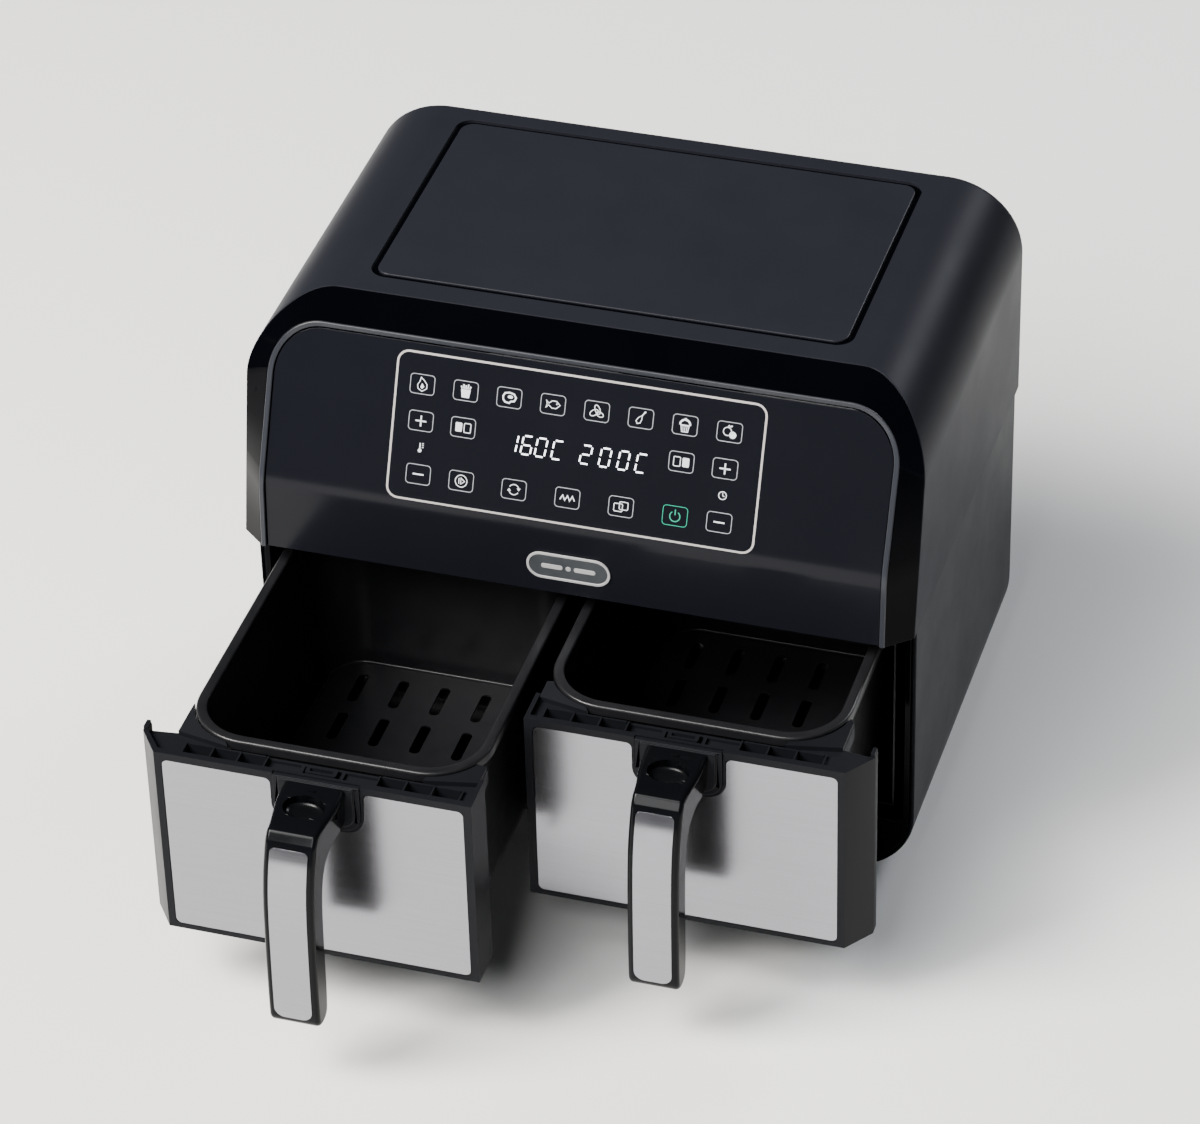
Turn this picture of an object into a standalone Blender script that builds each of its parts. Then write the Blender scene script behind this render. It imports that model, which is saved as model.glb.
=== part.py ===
"""Two-drawer air fryer, modelled as it comes apart on a bench.

Metres, +Z up, the front faces -Y. The origin is at the middle of the whole object's footprint, on
the surface that it stands on. Both drawers are modelled pulled out, the left one further.

Inside each function y is counted from the face of the closed drawers, towards the back, and the
parent empties carry everything to its real place.
"""

import math

import bmesh
import bpy
from mathutils import Matrix, Vector

# Driving dimensions
half_width = 0.195
height = 0.3254
depth = 0.2694
foot_height = 0.005
foot_radius = 0.0085
foot_x = 0.137
corner_radius = 0.044
seam_z = 0.1881
wall = 0.0025
gap = 0.0003

# The front: a near-upright lip, then a panel that leans back
bend_z = 0.2317
bend_y = 0.003
panel_top_z = 0.3184
panel_top_y = 0.0416
chamfer_width = 0.0137
border_width = 0.0034
satin_low_y = 0.0115
satin_lean = 0.2
satin_top_y = 0.0673

# Drawers
drawer_x = 0.0898
drawer_inner_x = 0.002
drawer_low_z = 0.0476
drawer_top_z = 0.1717
drawer_chamfer_y = 0.0163
plate_low_z = 0.0510
plate_top_z = 0.1668
notch_half_width = 0.0265
notch_low_z = 0.1385
rim_half_width = 0.0848
rim_front_y = 0.0160
rim_length = 0.224
rim_radius = 0.035
rim_z = 0.1752
basket_floor_z = 0.0570
handle_front_y = -0.0571
handle_half_width = 0.0145
left_pull = 0.1713
right_pull = 0.0911

# Hot-air side
fan_y = 0.128
fan_x = 0.0900
lower_half_width = 0.193
lower_front_y = 0.0253

# The footprint runs from the left handle to the back, and the origin is in its middle
front_y = -(depth + handle_front_y - left_pull) / 2

steps = 8


def clear_scene():
    for obj in list(bpy.data.objects):
        bpy.data.objects.remove(obj)


def make_material(name, color, roughness, metallic=0.0):
    material = bpy.data.materials.new(name)
    material.use_nodes = True
    shader = material.node_tree.nodes["Principled BSDF"]
    shader.inputs["Base Color"].default_value = (*color, 1.0)
    shader.inputs["Roughness"].default_value = roughness
    shader.inputs["Metallic"].default_value = metallic
    return material


def make_collection(name, hidden=False):
    collection = bpy.data.collections.new(name)
    bpy.context.scene.collection.children.link(collection)
    collection.hide_render = hidden
    return collection


clear_scene()
parts = make_collection("air_fryer")
cutters = make_collection("cutters", hidden=True)

satin_black = make_material("satin black plastic", (0.020, 0.022, 0.027), 0.42)
gloss_black = make_material("gloss black plastic", (0.006, 0.007, 0.010), 0.06)
steel = make_material("brushed steel", (0.62, 0.62, 0.63), 0.30, 1.0)
sheet_metal = make_material("aluminised sheet", (0.55, 0.55, 0.55), 0.45, 1.0)
nonstick = make_material("non-stick coating", (0.012, 0.012, 0.014), 0.35)
rubber = make_material("rubber", (0.02, 0.02, 0.02), 0.8)
board_green = make_material("circuit board", (0.02, 0.12, 0.05), 0.5)
heater_steel = make_material("heater tube", (0.25, 0.24, 0.23), 0.4, 1.0)


# ---- small tools --------------------------------------------------------------------------


def add_empty(name, location, parent=None):
    empty = bpy.data.objects.new(name, None)
    empty.location = location
    empty.parent = parent
    parts.objects.link(empty)
    return empty


def add_mesh(name, mesh_data, material, parent, smooth=True):
    """Link the finished bmesh as an object, with its faces pointing out."""
    bmesh.ops.recalc_face_normals(mesh_data, faces=mesh_data.faces)
    mesh = bpy.data.meshes.new(name)
    mesh_data.to_mesh(mesh)
    mesh_data.free()
    if smooth:
        mesh.shade_smooth()
        mesh.set_sharp_from_angle(angle=math.radians(35))
    if material:
        mesh.materials.append(material)
    obj = bpy.data.objects.new(name, mesh)
    obj.parent = parent
    (parts if material else cutters).objects.link(obj)
    if not material:
        obj.hide_render = True
        obj.display_type = "WIRE"
    return obj


def box(name, low, high, material, parent):
    shape = bmesh.new()
    bmesh.ops.create_cube(shape, size=1.0)
    low, high = Vector(low), Vector(high)
    bmesh.ops.scale(shape, vec=high - low, verts=shape.verts)
    bmesh.ops.translate(shape, vec=(low + high) / 2, verts=shape.verts)
    return add_mesh(name, shape, material, parent, smooth=False)


def cylinder(name, low, high, radius, material, parent, sides=24, top_radius=None):
    """A round bar from one point to another, along any axis."""
    low, high = Vector(low), Vector(high)
    shape = bmesh.new()
    bmesh.ops.create_cone(
        shape,
        cap_ends=True,
        segments=sides,
        radius1=radius,
        radius2=radius if top_radius is None else top_radius,
        depth=(high - low).length,
    )
    turn = Vector((0, 0, 1)).rotation_difference(high - low).to_matrix().to_4x4()
    bmesh.ops.transform(shape, matrix=Matrix.Translation((low + high) / 2) @ turn, verts=shape.verts)
    return add_mesh(name, shape, material, parent)


def arc(centre, radius, start, end, count):
    """Points from angle start to angle end, in degrees, both ends included."""
    angles = [math.radians(start + (end - start) * i / count) for i in range(count + 1)]
    return [(centre[0] + radius * math.cos(a), centre[1] + radius * math.sin(a)) for a in angles]


def rounded_rectangle(low, high, radius, count=5):
    """Corner arcs run anticlockwise from the high-x, low-y corner."""
    (x0, y0), (x1, y1) = low, high
    return (
        arc((x1 - radius, y0 + radius), radius, -90, 0, count)
        + arc((x1 - radius, y1 - radius), radius, 0, 90, count)
        + arc((x0 + radius, y1 - radius), radius, 90, 180, count)
        + arc((x0 + radius, y0 + radius), radius, 180, 270, count)
    )


def plate(name, outlines, plane, low, high, material, parent):
    """A flat outline with holes, a filled 2D curve given its thickness along the plane's normal."""
    curve = bpy.data.curves.new(name, "CURVE")
    curve.dimensions = "2D"
    curve.fill_mode = "BOTH"
    curve.extrude = (high - low) / 2
    for outline in outlines:
        spline = curve.splines.new("POLY")
        spline.points.add(len(outline) - 1)
        for point, place in zip(spline.points, outline):
            point.co = (place[0], place[1], 0, 1)
        spline.use_cyclic_u = True
    guide = bpy.data.objects.new(name + "_outline", curve)
    bpy.context.scene.collection.objects.link(guide)
    graph = bpy.context.evaluated_depsgraph_get()
    shape = bmesh.new()
    flat = bpy.data.meshes.new_from_object(guide.evaluated_get(graph))
    shape.from_mesh(flat)
    bpy.data.meshes.remove(flat)
    bpy.data.objects.remove(guide)
    bmesh.ops.remove_doubles(shape, verts=shape.verts, dist=1e-6)
    turn = {
        "XY": Matrix(((1, 0, 0), (0, 1, 0), (0, 0, 1))),
        "XZ": Matrix(((1, 0, 0), (0, 0, 1), (0, 1, 0))),
        "YZ": Matrix(((0, 0, 1), (1, 0, 0), (0, 1, 0))),
    }[plane].to_4x4()
    normal = {"XY": Vector((0, 0, 1)), "XZ": Vector((0, 1, 0)), "YZ": Vector((1, 0, 0))}[plane]
    move = Matrix.Translation(normal * (low + high) / 2)
    bmesh.ops.transform(shape, matrix=move @ turn, verts=shape.verts)
    return add_mesh(name, shape, material, parent)


def skin(name, rows, material, parent, closed=False, cap_last=False, cap_first=False):
    """A surface through rows of points with equal counts, for shapes that change along their way."""
    shape = bmesh.new()
    grid = [[shape.verts.new(point) for point in row] for row in rows]
    count = len(rows[0])
    for first, second in zip(grid, grid[1:]):
        for i in range(count if closed else count - 1):
            j = (i + 1) % count
            shape.faces.new((first[i], first[j], second[j], second[i]))
    if cap_last:
        shape.faces.new(grid[-1])
    if cap_first:
        shape.faces.new(reversed(grid[0]))
    return add_mesh(name, shape, material, parent)


def thicken(obj, thickness, offset):
    modifier = obj.modifiers.new("Solidify", "SOLIDIFY")
    modifier.thickness = thickness
    modifier.offset = offset
    modifier.use_even_offset = True
    return obj


def round_edges(obj, width, segments=2, angle=50):
    modifier = obj.modifiers.new("Bevel", "BEVEL")
    modifier.width = width
    modifier.segments = segments
    modifier.limit_method = "ANGLE"
    modifier.angle_limit = math.radians(angle)
    return obj


def combine(obj, other, operation="DIFFERENCE"):
    modifier = obj.modifiers.new(operation.title(), "BOOLEAN")
    modifier.operation = operation
    modifier.solver = "EXACT"
    modifier.object = other
    return obj


def tube(name, route, radius, material, parent, resolution=2):
    """A bar bent along a route, as a curve with a round bevel and filled caps."""
    curve = bpy.data.curves.new(name, "CURVE")
    curve.dimensions = "3D"
    curve.bevel_depth = radius
    curve.bevel_resolution = resolution
    curve.use_fill_caps = True
    spline = curve.splines.new("POLY")
    spline.points.add(len(route) - 1)
    for point, place in zip(spline.points, route):
        point.co = (*place, 1)
    curve.materials.append(material)
    obj = bpy.data.objects.new(name, curve)
    obj.parent = parent
    parts.objects.link(obj)
    return obj


# ---- shapes that several parts share ------------------------------------------------------


def arch(half, top, radius):
    """The upper body's section from its right foot over the top to its left foot, as (x, z)."""
    side = [(half, seam_z), (half, bend_z)]
    right = side + arc((half - radius, top - radius), radius, 0, 90, steps)
    return right + [(-x, z) for x, z in reversed(right)]


def face_y(z):
    """How far back the front face lies at this height."""
    if z < bend_z:
        return bend_y * (z - seam_z) / (bend_z - seam_z)
    return bend_y + (panel_top_y - bend_y) * (z - bend_z) / (panel_top_z - bend_z)


def satin_y(index, z):
    """Where the satin shell begins, at one station of the arch."""
    turn = min(index, 2 * (steps + 3) - 1 - index) - 2
    if turn <= 0:
        return satin_low_y + satin_lean * (z - seam_z)
    start = satin_low_y + satin_lean * (height - corner_radius - seam_z)
    part = turn / steps
    return start + (satin_top_y - start) * part * part * (3 - 2 * part)


def tub_outline(half, low, high, radius):
    """The lower body's section, open at the top, from its right edge round the bottom, as (x, z)."""
    right = [(half, high)] + arc((half - radius, low + radius), radius, 0, -90, steps)
    return right + [(-x, z) for x, z in reversed(right)]


def offset_outline(outline, amount):
    """Move every side of an anticlockwise outline in by the same amount."""
    moved = []
    for i, point in enumerate(outline):
        before = Vector(point) - Vector(outline[i - 1])
        after = Vector(outline[(i + 1) % len(outline)]) - Vector(point)
        normals = [Vector((-edge.y, edge.x)).normalized() for edge in (before, after)]
        mitre = (normals[0] + normals[1]).normalized()
        reach = amount / max(mitre.dot(normals[0]), 0.5)
        moved.append(tuple(Vector(point) + mitre * reach))
    return moved


def inset_outline(outline, amount, centre):
    """Draw an outline in towards a centre by about this much on every side."""
    half = max(abs(x - centre[0]) for x, _ in outline)
    tall = max(abs(z - centre[1]) for _, z in outline)
    across, up = 1 - amount / half, 1 - amount / tall
    return [(centre[0] + (x - centre[0]) * across, centre[1] + (z - centre[1]) * up) for x, z in outline]


# ---- the housing --------------------------------------------------------------------------


def back_rows(outline, centre, radius=0.009, count=3):
    """Rows that round a section over its back edge, ending on the back face."""
    rows = []
    for i in range(count + 1):
        angle = math.radians(90 * i / count)
        inward = radius * (1 - math.cos(angle))
        y = depth - radius + radius * math.sin(angle)
        rows.append([(x, y, z) for x, z in inset_outline(outline, inward, centre)])
    return rows


def build_top_shell(root):
    outline = arch(half_width, height, corner_radius)
    front = [(x, satin_y(i, z) + gap, z) for i, (x, z) in enumerate(outline)]
    rows = [front] + back_rows(outline, (0, seam_z))
    shell = skin("top_shell", rows, satin_black, root, cap_last=True)
    thicken(shell, wall, -1)
    groove = rounded_rectangle((-0.1395, 0.0825), (0.1395, 0.2520), 0.010)
    pocket = plate("lid_pocket", [groove], "XY", height - 0.0016, height + 0.01, None, root)
    combine(shell, pocket)
    hole = rounded_rectangle((-0.1603, 0.15), (0.1603, 0.3003), 0.012)
    combine(shell, plate("top_back_hole", [hole], "XZ", depth - 0.02, depth + 0.01, None, root))
    panel = rounded_rectangle((-0.1365, 0.0855), (0.1365, 0.2490), 0.008)
    plate("top_lid_panel", [panel], "XY", height - 0.0013, height, satin_black, root)


def build_bezel(root):
    """A chamfered arch round the panel: at each station of the arch, one closed section."""
    line_radius = corner_radius - chamfer_width
    inner_half = half_width - chamfer_width - border_width
    inner_top = panel_top_z - border_width
    inner_radius = line_radius - border_width
    edge = arch(half_width, height, corner_radius)
    under_edge = arch(half_width - 0.0023, height - 0.0023, corner_radius - 0.0023)
    line = arch(half_width - chamfer_width, panel_top_z, line_radius)
    under_line = arch(half_width - chamfer_width - 0.0015, panel_top_z - 0.0015, line_radius - 0.0015)
    inner = arch(inner_half, inner_top, inner_radius)
    back = arch(inner_half + 0.0016, inner_top + 0.0016, inner_radius + 0.0016)
    sections = []
    for i in range(len(edge)):
        face = face_y(line[i][1])
        chamfer_end = satin_y(i, edge[i][1])
        section = (
            (inner[i], face + 0.0045),
            (inner[i], face),
            (line[i], face),
            (edge[i], chamfer_end),
            (under_edge[i], chamfer_end),
            (under_line[i], face + 0.0030),
            (back[i], face + 0.0045),
        )
        sections.append([(x, y, z) for (x, z), y in section])
    skin("front_bezel", sections, gloss_black, root, closed=True, cap_first=True, cap_last=True)


def build_control_panel(root):
    half = half_width - chamfer_width - border_width - 0.0004
    top = panel_top_z - border_width - 0.0004
    radius = corner_radius - chamfer_width - border_width
    levels = [seam_z, 0.210, bend_z - 0.006, bend_z, bend_z + 0.006, 0.275]
    heights = [(half, z) for z in levels] + arc((half - radius, top - radius), radius, 0, 86, 6)
    rows = [[(x, face_y(z) + 0.0008, z), (-x, face_y(z) + 0.0008, z)] for x, z in heights]
    thicken(skin("control_panel", rows, gloss_black, root), 0.002, -1)


def build_badge(root):
    outline = rounded_rectangle((-0.0243, 0.1967), (0.0243, 0.2143), 0.0086, 6)
    badge = plate("badge_plate", [outline], "XZ", -0.0008, 0.0002, steel, root)
    lean = math.atan(bend_y / (bend_z - seam_z))
    badge.data.transform(
        Matrix.Translation((0, face_y(0.2055), 0.2055))
        @ Matrix.Rotation(-lean, 4, "X")
        @ Matrix.Translation((0, 0, -0.2055))
    )


def build_lower_shell(root):
    low = foot_height + gap
    outline = tub_outline(lower_half_width, low, seam_z - gap, corner_radius)
    front = [(x, lower_front_y + 0.0003, z) for x, z in outline]
    rows = [front] + back_rows(outline, (0, seam_z - gap))
    shell = skin("lower_shell", rows, satin_black, root, cap_last=True)
    thicken(shell, wall, -1)
    hole = rounded_rectangle((-0.1603, 0.030), (0.1603, 0.21), 0.012)
    combine(shell, plate("lower_back_hole", [hole], "XZ", depth - 0.02, depth + 0.01, None, root))
    floor = rounded_rectangle((-0.1223, 0.0397), (0.1223, 0.2453), 0.008)
    combine(shell, plate("floor_hole", [floor], "XY", -0.01, 0.02, None, root))


def build_bay_frame(root):
    """The front of the lower body, with one opening for each drawer and the post between them."""
    inset = wall + 0.0004
    half = lower_half_width - inset
    low = foot_height + gap + inset
    outer = tub_outline(half, low, seam_z - 0.0008, corner_radius - inset)
    openings = []
    for side in (-1, 1):
        xs = sorted((side * 0.0035, side * 0.1865))
        openings.append(rounded_rectangle((xs[0], 0.0455), (xs[1], 0.1822), 0.003, 2))
    plate("bay_frame", [outer, *openings], "XZ", lower_front_y, lower_front_y + 0.010, gloss_black, root)


def slots(low, high, columns, rows, slot_size):
    """Centres of a grid of vents, each as a small rounded outline."""
    outlines = []
    for column in range(columns):
        for row in range(rows):
            x = low[0] + (high[0] - low[0]) * (column + 0.5) / columns
            y = low[1] + (high[1] - low[1]) * (row + 0.5) / rows
            half = (slot_size[0] / 2, slot_size[1] / 2)
            low_corner = (x - half[0], y - half[1])
            high_corner = (x + half[0], y + half[1])
            outlines.append(rounded_rectangle(low_corner, high_corner, min(half) * 0.98, 2))
    return outlines


def build_rear_cover(root):
    outline = rounded_rectangle((-0.160, 0.0303), (0.160, 0.3000), 0.012)
    vents = []
    for side in (-1, 1):
        xs = sorted((side * 0.030, side * 0.130))
        vents += slots((xs[0], 0.225), (xs[1], 0.285), 1, 6, (0.080, 0.0042))
    cord_hole = arc((-0.120, 0.055), 0.0083, 0, 330, 11)
    outlines = [outline, *vents, cord_hole]
    plate("rear_cover", outlines, "XZ", depth - 0.0044, depth - 0.002, satin_black, root)
    gland = cylinder(
        "cord_gland", (-0.120, depth - 0.012, 0.055), (-0.120, depth, 0.055), 0.0080, rubber, root, 16
    )
    bore = cylinder(
        "gland_bore", (-0.120, depth - 0.02, 0.055), (-0.120, depth + 0.01, 0.055), 0.0038, None, root, 12
    )
    combine(gland, bore)


def build_base(root):
    outline = rounded_rectangle((-0.122, 0.040), (0.122, 0.245), 0.008)
    vents = []
    for side in (-1, 1):
        xs = sorted((side * 0.035, side * 0.095))
        vents += slots((xs[0], 0.09), (xs[1], 0.20), 1, 7, (0.060, 0.005))
    low = foot_height + gap
    plate("base_plate", [outline, *vents], "XY", low, low + wall, satin_black, root)
    for side, side_name in ((-1, "left"), (1, "right")):
        for y, end_name in ((0.055, "front"), (0.238, "rear")):
            x = side * foot_x
            name = f"foot_{end_name}_{side_name}"
            ends = ((x, y, 0), (x, y, foot_height))
            cylinder(name, *ends, foot_radius, rubber, root, 20, top_radius=foot_radius + 0.001)


# ---- hot-air side -------------------------------------------------------------------------


def build_mid_plate(root):
    """The floor of the upper body, over both bays, with a hole over each basket."""
    half = [(0.1765, 0.0060), (0.1765, 0.0120), (0.1890, 0.0160), (0.1895, depth - 0.0080)]
    outline = half + [(-x, y) for x, y in reversed(half)]
    holes = [arc((side * fan_x, fan_y), 0.078, 0, 345, 23) for side in (-1, 1)]
    plate("mid_plate", [outline, *holes], "XY", seam_z + gap, seam_z + 0.0018, sheet_metal, root)


def build_bay(side, name, root):
    """One sheet liner, open at the front, with a round hole in its roof for the hot air."""
    xs = sorted((side * 0.0015, side * 0.1788))
    low, high = 0.0470, 0.1850
    rows = []
    for y in (lower_front_y + 0.0106, 0.2530):
        rows.append([(xs[0], y, low), (xs[1], y, low), (xs[1], y, high), (xs[0], y, high)])
    liner = skin(f"bay_liner_{name}", rows, sheet_metal, root, closed=True, cap_last=True)
    thicken(liner, 0.0010, -1)
    top = (side * fan_x, fan_y, high + 0.01)
    combine(liner, cylinder(f"roof_hole_{name}", (top[0], top[1], 0.17), top, 0.077, None, root, 24))


def build_heater(side, name, root):
    centre = (side * fan_x, fan_y)
    outer = arc(centre, 0.0765, 0, 345, 23)
    holes = []
    for ring, count in ((0.026, 6), (0.052, 10)):
        for i in range(count):
            mid = 360 * i / count
            spread = 360 / count / 2 - math.degrees(0.0032 / ring)
            inner_arc = arc(centre, ring - 0.010, mid - spread, mid + spread, 2)
            outer_arc = arc(centre, ring + 0.010, mid + spread, mid - spread, 2)
            holes.append(inner_arc + outer_arc)
    plate(f"heater_guard_{name}", [outer, *holes], "XY", 0.1860, 0.1872, sheet_metal, root)

    turns = 1.8
    route = []
    for i in range(33):
        angle = math.radians(-90 + 360 * turns * i / 32)
        radius = 0.066 - 0.020 * i / 32
        x = centre[0] + radius * math.cos(angle)
        y = centre[1] + radius * math.sin(angle)
        route.append((x, y, 0.2000))
    end = route[-1]
    route.append((end[0], end[1], 0.2100))
    tube(f"heating_element_{name}", route, 0.0032, heater_steel, root, 1)

    housing_outline = []
    for reach, z in ((0.0800, 0.1903), (0.0790, 0.2220), (0.0740, 0.2300)):
        low = (centre[0] - reach, centre[1] - reach)
        high = (centre[0] + reach, centre[1] + reach)
        ring = rounded_rectangle(low, high, reach * 0.45, 4)
        housing_outline.append([(x, y, z) for x, y in ring])
    housing = skin(
        f"heater_housing_{name}", housing_outline, sheet_metal, root, closed=True, cap_last=True
    )
    thicken(housing, 0.0010, -1)
    bore = cylinder(f"housing_bore_{name}", (*centre, 0.22), (*centre, 0.24), 0.0060, None, root, 16)
    combine(housing, bore)


def fan_outline(blades, hub, tip, sweep):
    """A paddle wheel seen from above: narrow swept blades round a hub, centred on its shaft."""
    points = []
    for i in range(blades):
        start = 360 * i / blades
        points += arc((0, 0), hub, start - 0.28 * 360 / blades, start + 0.05 * 360 / blades, 1)
        points += arc((0, 0), tip, start + sweep, start + sweep + 0.22 * 360 / blades, 1)
    return points


def build_fan(side, name, root):
    """The hot-air wheel, the cooling wheel and their common shaft turn as one."""
    axle = add_empty(f"fan_{name}", (side * fan_x, fan_y, 0.2150), root)
    hole = arc((0, 0), 0.0024, 0, 315, 7)
    hot = fan_outline(8, 0.012, 0.058, 6)
    plate(f"hot_fan_{name}", [hot, hole], "XY", -0.0020, 0.0070, sheet_metal, axle)
    cool = fan_outline(9, 0.010, 0.036, 10)
    plate(f"cooling_fan_{name}", [cool, hole], "XY", 0.0190, 0.0265, satin_black, axle)
    cylinder(f"motor_shaft_{name}", (0, 0, -0.005), (0, 0, 0.0640), 0.0021, sheet_metal, axle, 8)


def build_motor(side, name, root):
    centre = (side * fan_x, fan_y)
    reach, half = 0.045, 0.009
    section = [
        (centre[0] - reach - 0.008, 0.2313),
        (centre[0] - reach, 0.2313),
        (centre[0] - reach + 0.004, 0.2455),
        (centre[0] + reach - 0.004, 0.2455),
        (centre[0] + reach, 0.2313),
        (centre[0] + reach + 0.008, 0.2313),
    ]
    rows = [[(x, centre[1] + y, z) for x, z in section] for y in (-half, half)]
    bracket = thicken(skin(f"motor_bracket_{name}", rows, sheet_metal, root), 0.0012, 1)
    bore = cylinder(f"bracket_bore_{name}", (*centre, 0.24), (*centre, 0.25), 0.004, None, root, 12)
    combine(bracket, bore)
    motor = cylinder(
        f"fan_motor_{name}", (*centre, 0.2475), (*centre, 0.2760), 0.0290, heater_steel, root, 20
    )
    bore = cylinder(f"motor_bore_{name}", (*centre, 0.24), (*centre, 0.29), 0.0026, None, root, 8)
    combine(motor, bore)


def build_electrics(root):
    slope = math.atan((panel_top_y - bend_y) / (panel_top_z - bend_z))

    def behind_panel(obj, z, inward):
        """Lay a board that was made upright at the origin against the leaning panel."""
        place = Matrix.Translation((0, face_y(z), z)) @ Matrix.Rotation(-slope, 4, "X")
        obj.data.transform(place @ Matrix.Translation((0, inward, 0)))

    board = box("control_board", (-0.100, 0, -0.034), (0.100, 0.0016, 0.034), board_green, root)
    behind_panel(board, 0.276, 0.0105)
    display = box("display_module", (-0.038, 0, -0.010), (0.038, 0.0055, 0.010), satin_black, root)
    behind_panel(display, 0.276, 0.0045)
    box("power_board", (-0.100, 0.100, 0.0120), (0.100, 0.200, 0.0136), board_green, root)
    for side, name in ((-1, "left"), (1, "right")):
        xs = sorted((side * 0.080, side * 0.100))
        low, high = (xs[0], 0.2535, 0.075), (xs[1], 0.2595, 0.087)
        box(f"drawer_switch_{name}", low, high, satin_black, root)
        duct_x = sorted((side * 0.040, side * 0.120))
        rows = []
        for y in (fan_y + 0.0805, depth - 0.0056):
            corners = ((0, 0.2000), (1, 0.2000), (1, 0.2280), (0, 0.2280))
            rows.append([(duct_x[i], y, z) for i, z in corners])
        thicken(skin(f"exhaust_duct_{name}", rows, sheet_metal, root, closed=True), 0.0008, -1)


# ---- drawers ------------------------------------------------------------------------------


def basket_ring(inward, z, count=6):
    low = (-rim_half_width + inward, rim_front_y + inward)
    high = (rim_half_width - inward, rim_front_y + rim_length - inward)
    return [(x, y, z) for x, y in rounded_rectangle(low, high, max(rim_radius - inward, 0.012), count)]


def build_basket(name, drawer):
    top = rim_z
    floor = basket_floor_z
    profile = [
        (0.0000, top - 0.0060),
        (0.0000, top - 0.0012),
        (0.0012, top),
        (0.0053, top),
        (0.0065, top - 0.0012),
        (0.0072, top - 0.0080),
        (0.0105, floor + 0.0130),
        (0.0135, floor + 0.0045),
        (0.0210, floor),
    ]
    rows = [basket_ring(inward, z) for inward, z in profile]
    thicken(skin(f"basket_{name}", rows, nonstick, drawer, closed=True, cap_last=True), 0.0012, -1)


def build_crisper(name, drawer):
    """A slotted tray on four legs, which lifts out of the basket."""
    tray = add_empty(f"crisper_{name}", (0, 0, basket_floor_z), drawer)
    reach = 0.0145
    middle_y = rim_front_y + rim_length / 2
    low = (-rim_half_width + reach, rim_front_y + reach)
    high = (rim_half_width - reach, rim_front_y + rim_length - reach)
    outline = rounded_rectangle(low, high, rim_radius - reach, 4)
    openings = []
    for column in range(-2, 3):
        for row in range(5):
            x = column * 0.0250
            y = middle_y + (row - 2) * 0.0360
            openings.append(rounded_rectangle((x - 0.003, y - 0.013), (x + 0.003, y + 0.013), 0.0005, 1))
    level = 0.0140
    top = level + 0.0014
    body = plate(f"crisper_tray_{name}", [outline, *openings], "XY", level, top, nonstick, tray)
    for x_side in (-1, 1):
        for y_side in (-1, 1):
            x = x_side * 0.0570
            y = middle_y + y_side * 0.0835
            leg = cylinder(
                f"tray_leg_{name}", (x, y, gap), (x, y, level + 0.0007), 0.0030, None, tray, 8
            )
            combine(body, leg, "UNION")


def front_outlines(side):
    """The drawer front seen from above, x outwards: its thin skin and its deck round the basket."""
    inner = drawer_inner_x - drawer_x
    outer = half_width - drawer_x
    corner = half_width - 0.012 - drawer_x
    wing = 0.0026
    back = drawer_chamfer_y + 0.0070
    thin = [
        (inner, 0),
        (corner, 0),
        (outer, drawer_chamfer_y),
        (outer, back),
        (outer - wing, back),
        (outer - wing, drawer_chamfer_y + 0.0010),
        (corner - 0.0012, 0.0040),
        (inner + wing, 0.0040),
        (inner + wing, back),
        (inner, back),
    ]
    clear = 0.0004
    right = (rim_half_width - rim_radius, rim_front_y + rim_radius)
    left = (-right[0], right[1])
    radius = rim_radius + clear
    outer_reach, inner_reach = 10, 25
    outer_y = right[1] - radius * math.sin(math.radians(outer_reach))
    inner_y = right[1] - radius * math.sin(math.radians(inner_reach))
    outer_cheek = rim_half_width + 0.0018
    inner_cheek = -rim_half_width - 0.0005
    deck = [
        (inner + 0.0006, 0.0015),
        (corner - 0.0016, 0.0015),
        (outer_cheek, 0.0060),
        (outer_cheek, outer_y),
        *arc(right, radius, -outer_reach, -90, 6),
        *arc(left, radius, -90, -180 + inner_reach, 6),
        (inner_cheek, inner_y),
        (inner_cheek, back),
        (inner + 0.0006, back),
    ]
    return [[(side * x, y) for x, y in outline] for outline in (thin, deck)]


def build_front(side, name, drawer):
    thin, deck = front_outlines(side)
    front = plate(f"drawer_front_{name}", [thin], "XY", drawer_low_z, drawer_top_z, satin_black, drawer)
    deck_levels = (drawer_top_z - 0.0125, drawer_top_z - 0.0008)
    top_deck = plate(f"deck_{name}", [deck], "XY", *deck_levels, None, drawer)
    combine(front, top_deck, "UNION")
    low_half = rim_half_width - 0.004
    shelf = ((-low_half, 0.0030, drawer_low_z + 0.0006), (low_half, 0.0150, drawer_low_z + 0.0036))
    combine(front, box(f"shelf_{name}", *shelf, None, drawer), "UNION")
    for x, half in ((-0.066, 0.011), (-0.036, 0.013), (0.0, 0.012), (0.036, 0.013), (0.066, 0.011)):
        low = (side * x - half, 0.0062, drawer_top_z - 0.0060)
        high = (side * x + half, 0.0128, drawer_top_z + 0.01)
        combine(front, box(f"pocket_{name}", low, high, None, drawer))
    # The shallow seat of the steel plate, with the handle insert's notch through it
    outline = plate_outline(side, 0.0003)
    combine(front, plate(f"seat_{name}", [outline], "XZ", -0.01, 0.0013, None, drawer))
    notch = insert_outline(0.0003, top=drawer_top_z + 0.01)
    combine(front, plate(f"notch_{name}", [notch], "XZ", -0.01, 0.0022, None, drawer))


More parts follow.
